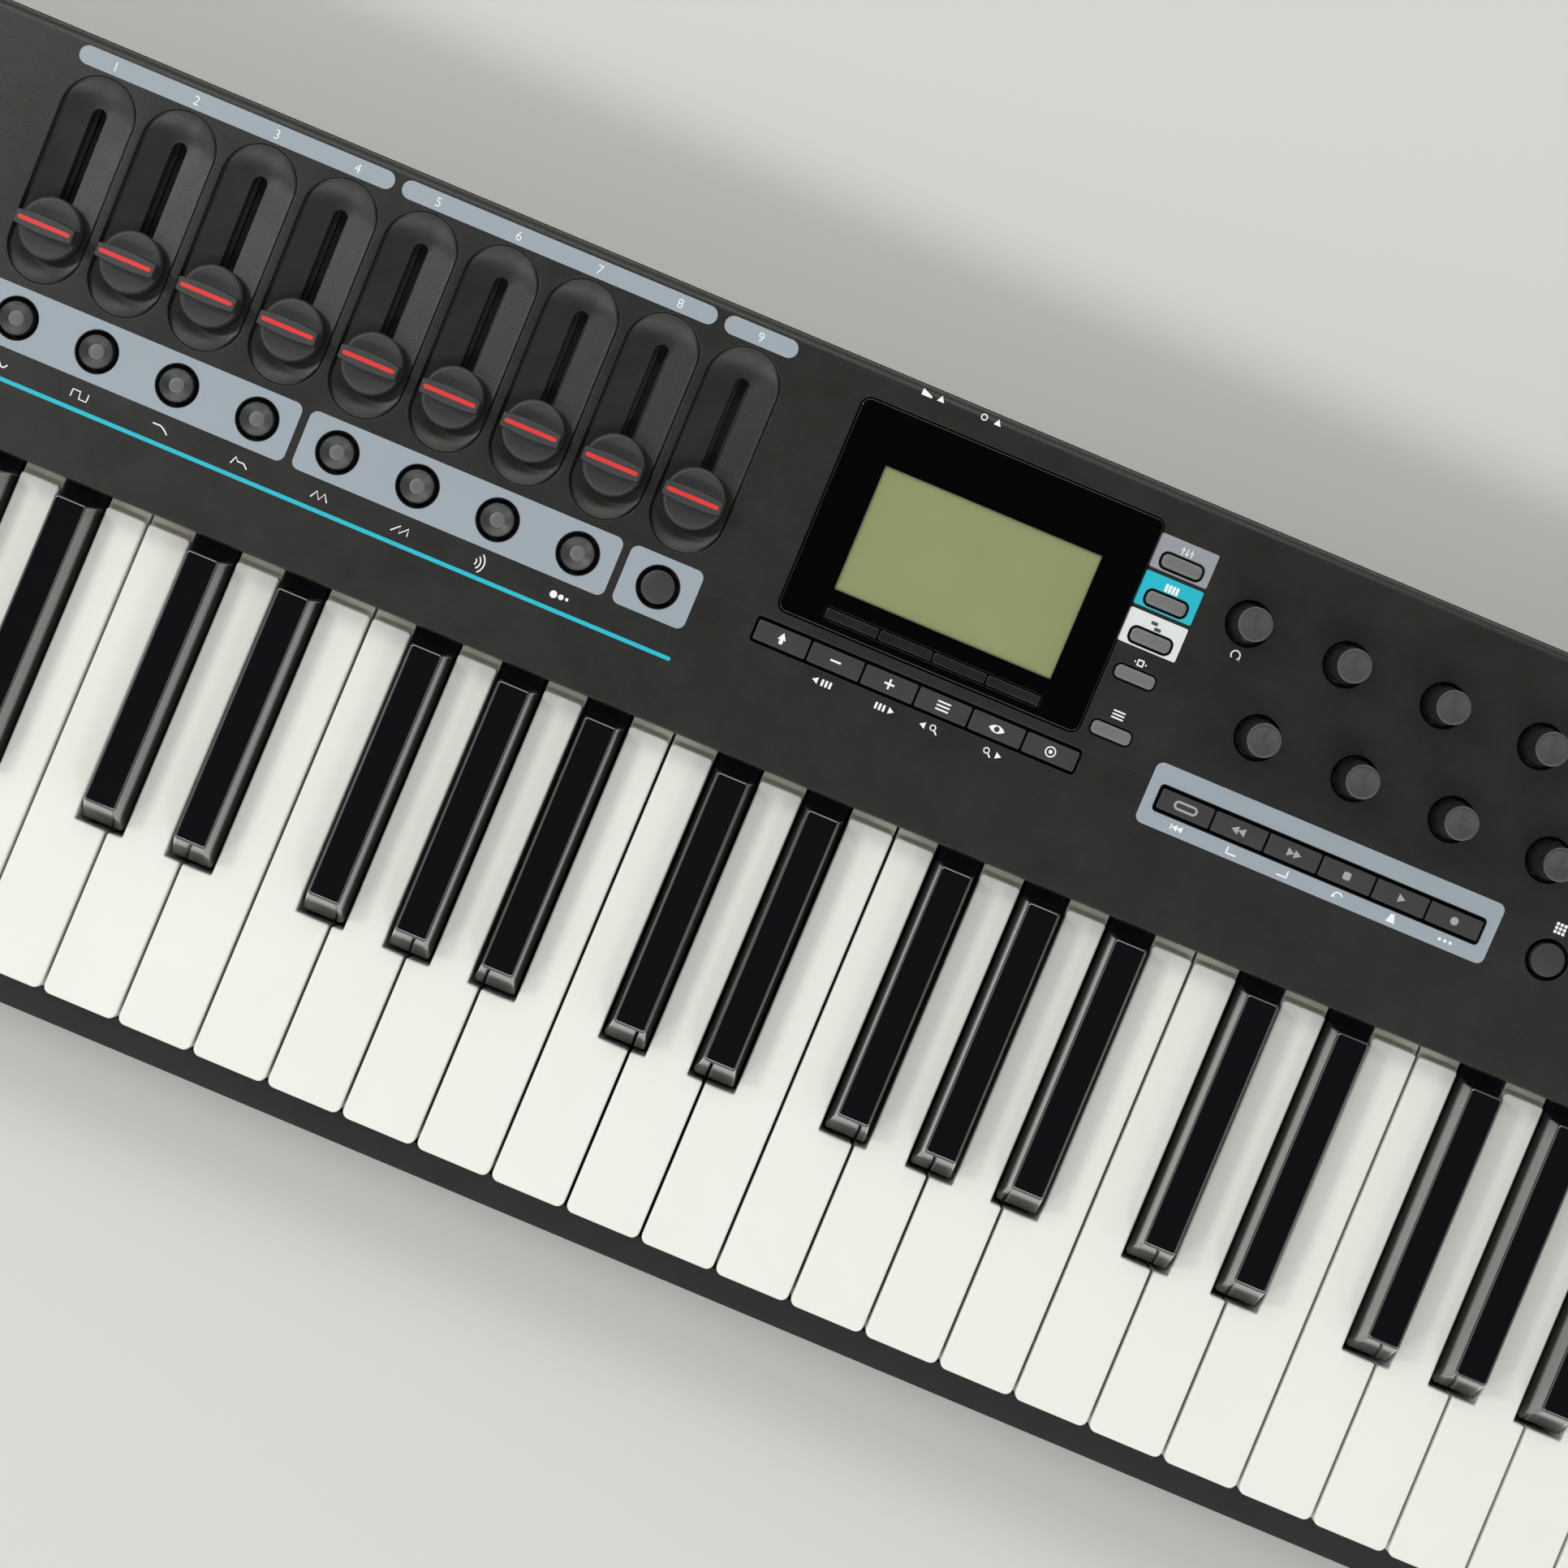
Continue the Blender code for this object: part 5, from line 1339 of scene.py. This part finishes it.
def round_socket():
    """A five-pin socket's face: a black disc with a key and five holes, and a metal ring."""
    angles = [math.radians(270 + step * 45) for step in (-2, -1, 0, 1, 2)]
    pins = [circle((5.0 * math.cos(a), 5.0 * math.sin(a)), 0.75, 12) for a in angles]
    disc = perforated(circle((0, 0), 6.75, 48), pins, -3, -1.2, 0.2, 0.2, 0.12)
    collar = tube(7.85, 6.85, -9, 0.35)
    key = block((-1.1, 5.6, -1.3), (1.1, 6.8, 0.0), 0.2)
    return disc, collar, key


def usb_socket():
    outer, inner = rounded((0, 0), (11.9, 10.9), 0.8, 3), rounded((0, 0), (8.7, 8.1), 0.5, 3)
    rings = [level(outer, -13), level(outer, -0.2), level(inset(outer, 0.2), 0)]
    rings += [level(inset(inner, -0.2), 0), level(inner, -0.2), level(inner, -13), level(outer, -13)]
    tongue = block((-2.7, -1.5, -13), (2.7, 1.5, -1.5), 0.2)
    return hoop(rings), tongue


def switch_frame():
    outer, inner = rounded((0, 0), (14.6, 20.8), 1.2, 3), rounded((0, 0), (12.0, 18.2), 0.4, 3)
    rings = [level(outer, 0.02), level(outer, 0.6), level(inset(outer, 0.5), 1.0)]
    return hoop([*rings, level(inner, 1.0), level(inner, -4), level(inset(inner, -0.1), -4)])


def build_sockets():
    bush, nut = jack()
    disc, collar, key = round_socket()
    shell, tongue = usb_socket()
    pedal = ((bush, STEEL), (nut, STEEL), (tube(4.9, 4.3, -2.5, 0), CHIP_BLACK))
    fittings = {
        "pedal_1": pedal,
        "pedal_2": pedal,
        "midi": ((disc, CHIP_BLACK), (collar, STEEL), (key, CHIP_BLACK)),
        "usb": ((shell, STEEL), (tongue, WHITE_PLASTIC)),
        "power": ((tube(4.45, 3.1, -12, 0), CHIP_BLACK), (drum(0.95, -12, -1, 16, 0.5), BRASS)),
    }
    parts = []
    for name, fitting in fittings.items():
        parts += [(at_rear(mesh, SOCKETS[name].x), finish) for mesh, finish in fitting]
    parts.append((at_rear(switch_frame(), SWITCH_X), GLOSS_BLACK))
    piece("rear_sockets", parts)


def chip(x, y, z, width, depth, height):
    return block((x - width / 2, y - depth / 2, z), (x + width / 2, y + depth / 2, z + height), 0.3)


def chip_legs(x, y, z, width, count):
    """Bent pins down two sides of a chip."""
    legs = []
    for side in (-1, 1):
        for across in row_of(y, count, LEG_PITCH):
            edge = x + side * width / 2
            low = (min(edge, edge + side * 1.4), across - 0.25, z)
            legs.append(block(low, (low[0] + 1.4, across + 0.25, z + 0.5)))
    return legs


BOARD_LOW, BOARD_HIGH = box("main_board")
BOARD_TOP = SOCKET_Z - 12.4


def board_block(x, half, deep, shallow, rise, edge):
    """A body on the main board, from deep to shallow in front of the board's rear edge."""
    low = (x - half, BOARD_HIGH.y - deep, BOARD_TOP)
    return block(low, (x + half, BOARD_HIGH.y - shallow, SOCKET_Z + rise), edge)


def socket_bodies():
    """Bodies of the bored sockets: half width, depth, rise, bore's radius and depth, and edge."""
    sizes = {"pedal_1": (7, 30, 8, 4.25, 26, 0.6), "pedal_2": (7, 30, 8, 4.25, 26, 0.6)}
    sizes |= {"midi": (10, 14, 11, 7.9, 9, 0.5), "power": (5, 14, 6, 4.5, 10, 0.5)}
    bodies = []
    for name, (half, depth, rise, radius, bore, edge) in sizes.items():
        x = SOCKETS[name].x
        body = board_block(x, half, depth, 0.2, rise, edge)
        bodies.append(combined(body, "DIFFERENCE", at_rear(drum(radius, -bore, 2), x, BOARD_HIGH.y)))
    return bodies


def build_main_board():
    low, high = BOARD_LOW, BOARD_HIGH
    slab = block((low.x, low.y, BOARD_TOP - 1.6), (high.x, high.y, BOARD_TOP), 0.1)
    parts = [(slab, SOLDER_MASK)]
    parts += [(body, CHIP_BLACK) for body in socket_bodies()]
    parts.append((board_block(SOCKETS["usb"].x, 6.2, 17, 10.2, 6, 0.3), STEEL))
    parts.append((board_block(SWITCH_X, 7, 20, 7, 10, 0.5), CHIP_BLACK))
    for x, y, width, depth, height in BOARD_CHIPS:
        parts.append((chip(x, y, BOARD_TOP + 0.4, width, depth, height), CHIP_BLACK))
        parts += [(leg, STEEL) for leg in chip_legs(x, y, BOARD_TOP, width, int(depth / LEG_PITCH) - 1)]
    for x, y in CAPACITORS:
        parts.append((shifted(drum(3.1, 0, 7.5, 24, 0.5), x, y, BOARD_TOP), GLOSS_BLACK))
        parts.append((shifted(drum(2.6, 7.4, 7.6, 24, 0.05), x, y, BOARD_TOP), STEEL))
    for x in (low.x + 6, high.x - 6):
        for y in (low.y + 6, low.y + 42):
            parts.append((shifted(tube(3, 1.6, CASE_LOW.z + 3.3, BOARD_TOP - 1.7), x, y), CASE_PLASTIC))
    piece("main_circuit_board", parts, replaces=["main_board"], sharp=30)


def build_panel_board():
    low, high = panel_box("panel_board")
    base = low.z + 1.6
    parts = [(block((low.x, low.y, low.z), (high.x, high.y, base), 0.1), SOLDER_MASK)]
    slit = rounded((0, 0), (2.2, 46), 1.05)
    track = perforated(rounded((0, 0), (8.6, 60), 0.5, 2), [slit], base, -6.6, 0.3, 0.3, 0.1)
    shutter = block((-1.6, -24, -9.2), (1.6, 24, -8.4))
    for x in FADER_XS:
        parts.append((shifted(track, x, RECESS_Y), CHIP_BLACK))
        parts.append((shifted(shutter, x, RECESS_Y), DARK_SILICONE))
    body = block((-6, -6, base), (6, 6, -7.5), 0.6)
    for x, y in ENCODERS:
        parts.append((shifted(body, x, y), STEEL))
        parts.append((shifted(drum(2.9, -7.6, 8, 24, 0.3), x, y), STEEL))
    for x in FADER_XS:
        for lift in (-3, 3):
            parts.append((chip(x + lift, low.y + 6, base, 1.6, 3.0, 0.7), BRASS))
    piece("panel_circuit_board", parts, place=PANEL, replaces=["panel_board"], sharp=30)


def build_rocker():
    """Bevels the rocker and prints its on and off marks."""
    finish_node("power_rocker", GLOSS_BLACK, 0.5)
    pivot = (SWITCH_X, CASE_HIGH.y - 8, SOCKET_Z)
    parts = []
    off_mark, on_mark = ring(1.7, 0.5), [bar(0, 0, 0.6, 3.4)]
    for icon, y, z, lean in ((off_mark, 6.2, 4.0, 9.9), (on_mark, 4.97, -4.2, 7.5)):
        shape = flat_shapes(icon, 0, 0.12)
        turn = Matrix.Rotation(-math.radians(90 + lean), 4, "X") @ Matrix.Rotation(math.pi, 4, "Z")
        shape.transform(Matrix.Translation((0, y + 0.02, z)) @ turn)
        parts.append((shape, WHITE_INK))
    piece("rocker_marks", parts, "power_rocker", Matrix.Translation(pivot))


def finish_node(name, finish, bevel=0.0):
    """Gives a CAD node that stays as it is a better material, and round edges."""
    obj = frame["nodes"][name]
    for slot in obj.material_slots:
        slot.material = finish
    if bevel:
        round_edges(obj, bevel, 2, 40)


# Wheels


def wheel_radius(angle, dip_at, ribbed):
    """Radius of a wheel's rim at an angle, with ribs and a finger dip."""
    away = abs((angle - dip_at + math.pi) % (2 * math.pi) - math.pi)
    radius = WHEEL_RADIUS
    reach = DIP_RADIUS**2 - (DIP_CENTRE * math.sin(away)) ** 2
    if away < 0.5 and reach > 0:
        radius = min(radius, DIP_CENTRE * math.cos(away) - math.sqrt(reach))
    return radius - (0.5 if ribbed else 0)


def wheel_mesh(dip_at):
    steps = 288
    angles = [2 * math.pi * k / steps for k in range(steps)]
    stations = ((-7, 0.9, 0), (-6.75, 0.3, 0), (-6.2, 0, 0), (-5.7, 0, 0), (-5.5, 0, 1))
    stations += tuple((-x, shrink, rib) for x, shrink, rib in reversed(stations))
    rings = []
    for x, shrink, rib in stations:
        radii = [wheel_radius(a, dip_at, rib and k % 4 in (2, 3)) - shrink for k, a in enumerate(angles)]
        rings.append([(x, r * math.cos(a), r * math.sin(a)) for r, a in zip(radii, angles)])
    hub = [(0, -11), (3, -11), (3, -7), (5.5, -7), (6, -6.2), (18.0, -6.2), (18.5, -7)]
    disc = [[(x, r * math.cos(a), r * math.sin(a)) for a in angles] for r, x in hub]
    other = [[(-x, y, z) for x, y, z in ring_points] for ring_points in reversed(disc)]
    return loft([*disc, *rings, *other])


def cheek_outline(y):
    """A wheel's bearing cheek in (y, z): a plate with a slot for the axle."""
    foot, slot = -20, 3.3
    outline = [(y - 12, -2), (y - 12, foot + 2), (y - 10, foot), (y - slot, foot)]
    outline += arc((y, -13), slot, 180, 0, 8)
    return outline + [(y + slot, foot), (y + 10, foot), (y + 12, foot + 2), (y + 12, -2)]


def build_wheels():
    for name, dip in (("pitch_wheel", 90), ("mod_wheel", 125)):
        axle = INTO_PANEL @ (Vector(JOINTS[f"{name}_turn"]["pos_m"]) / MM)
        place = PANEL @ Matrix.Translation(axle)
        piece(f"{name}_rim", [(wheel_mesh(math.radians(dip)), CAP_RUBBER)], name, place, [name])
    cheeks = []
    for wheel in WHEELS.values():
        for side in (-9.2, 9.2):
            x = wheel.x + side
            cheeks.append((side_slab(cheek_outline(wheel.y), x - 1.25, x + 1.25), PANEL_PLASTIC))
    piece("wheel_cheeks", cheeks, place=PANEL)


# Camera, lights and floor


SKY = (0.6, 0.6, 0.595)
ZENITH = (0.012, 0.012, 0.014)
PALE_LIGHT = (1.0, 0.995, 0.98)
AIM = Vector((0.05, 0, 0.05))


def build_floor():
    work = bmesh.new()
    bmesh.ops.create_grid(work, x_segments=8, y_segments=8, size=2500)
    floor_mesh = mesh_from(work, "floor")
    floor_mesh.transform(Matrix.Translation((0, 0, -0.3 * MM)) @ Matrix.Scale(MM, 4))
    floor_mesh.materials.append(new_material("paper", (0.66, 0.655, 0.64), 0.9))
    add_object("floor", floor_mesh)


def build_world():
    """A pale sky that is dark round the zenith, where the black keys mirror it."""
    world = bpy.data.worlds.new("studio")
    bpy.context.scene.world = world
    world.use_nodes = True
    tree = world.node_tree
    shade = tree.nodes["Background"]
    shade.inputs["Strength"].default_value = 1.0
    direction = tree.nodes.new("ShaderNodeTexCoord")
    split = tree.nodes.new("ShaderNodeSeparateXYZ")
    ramp = tree.nodes.new("ShaderNodeValToRGB")
    for stop, position, colour in zip(ramp.color_ramp.elements, (0.86, 0.92), (SKY, ZENITH)):
        stop.position = position
        stop.color = (*colour, 1)
    tree.links.new(direction.outputs["Generated"], split.inputs["Vector"])
    tree.links.new(split.outputs["Z"], ramp.inputs["Fac"])
    tree.links.new(ramp.outputs["Color"], shade.inputs["Color"])


def softbox(name, place, size, power, colour):
    """An area light that faces the instrument. Its place and size are in metres."""
    data = bpy.data.lights.new(name, "AREA")
    data.shape = "RECTANGLE"
    data.size, data.size_y = size
    data.energy = power
    data.color = colour
    lamp = add_object(name, data)
    lamp.location = place
    lamp.rotation_euler = (AIM - Vector(place)).to_track_quat("-Z", "Y").to_euler()


def build_camera():
    """Straight above the display's left, turned so that the keys run down to the right."""
    data = bpy.data.cameras.new("camera")
    data.sensor_width = 36
    data.lens = 68.1
    camera = add_object("camera", data)
    camera.location = (0.065, 0.0134, 0.92)
    camera.rotation_euler = (0, 0, math.radians(22.75))
    bpy.context.scene.camera = camera
    bpy.context.scene.view_settings.view_transform = "Standard"


build_camera()
build_floor()
build_world()
softbox("front_right_light", (1.2, -1.05, 1.75), (0.4, 0.4), 5.5, PALE_LIGHT)
softbox("front_left_light", (-1.1, -1.05, 1.75), (0.4, 0.4), 5.5, PALE_LIGHT)
softbox("front_light", (0.1, -1.3, 2.05), (1.4, 0.4), 9, PALE_LIGHT)
softbox("rear_left_light", (-1.35, 0.35, 1.95), (0.4, 0.4), 10, (1.0, 0.99, 0.95))
softbox("rear_light", (-0.4, 1.3, 1.9), (2.2, 0.5), 14, (1.0, 0.985, 0.93))
build_top_panel()
build_fader_bed()
build_prints()
build_display()
build_soft_keys()
build_round_buttons()
build_key_rows()
build_mode_keys()
build_drum_pads()
build_octave_keys()
build_faders()
build_encoders()
build_keys()
build_case()
build_screws()
build_feet()
build_sockets()
build_main_board()
build_panel_board()
build_rocker()
build_wheels()
finish_node("keybed_frame", FRAME_PLASTIC, 0.4)
finish_node("key_contact_board", SOLDER_MASK)
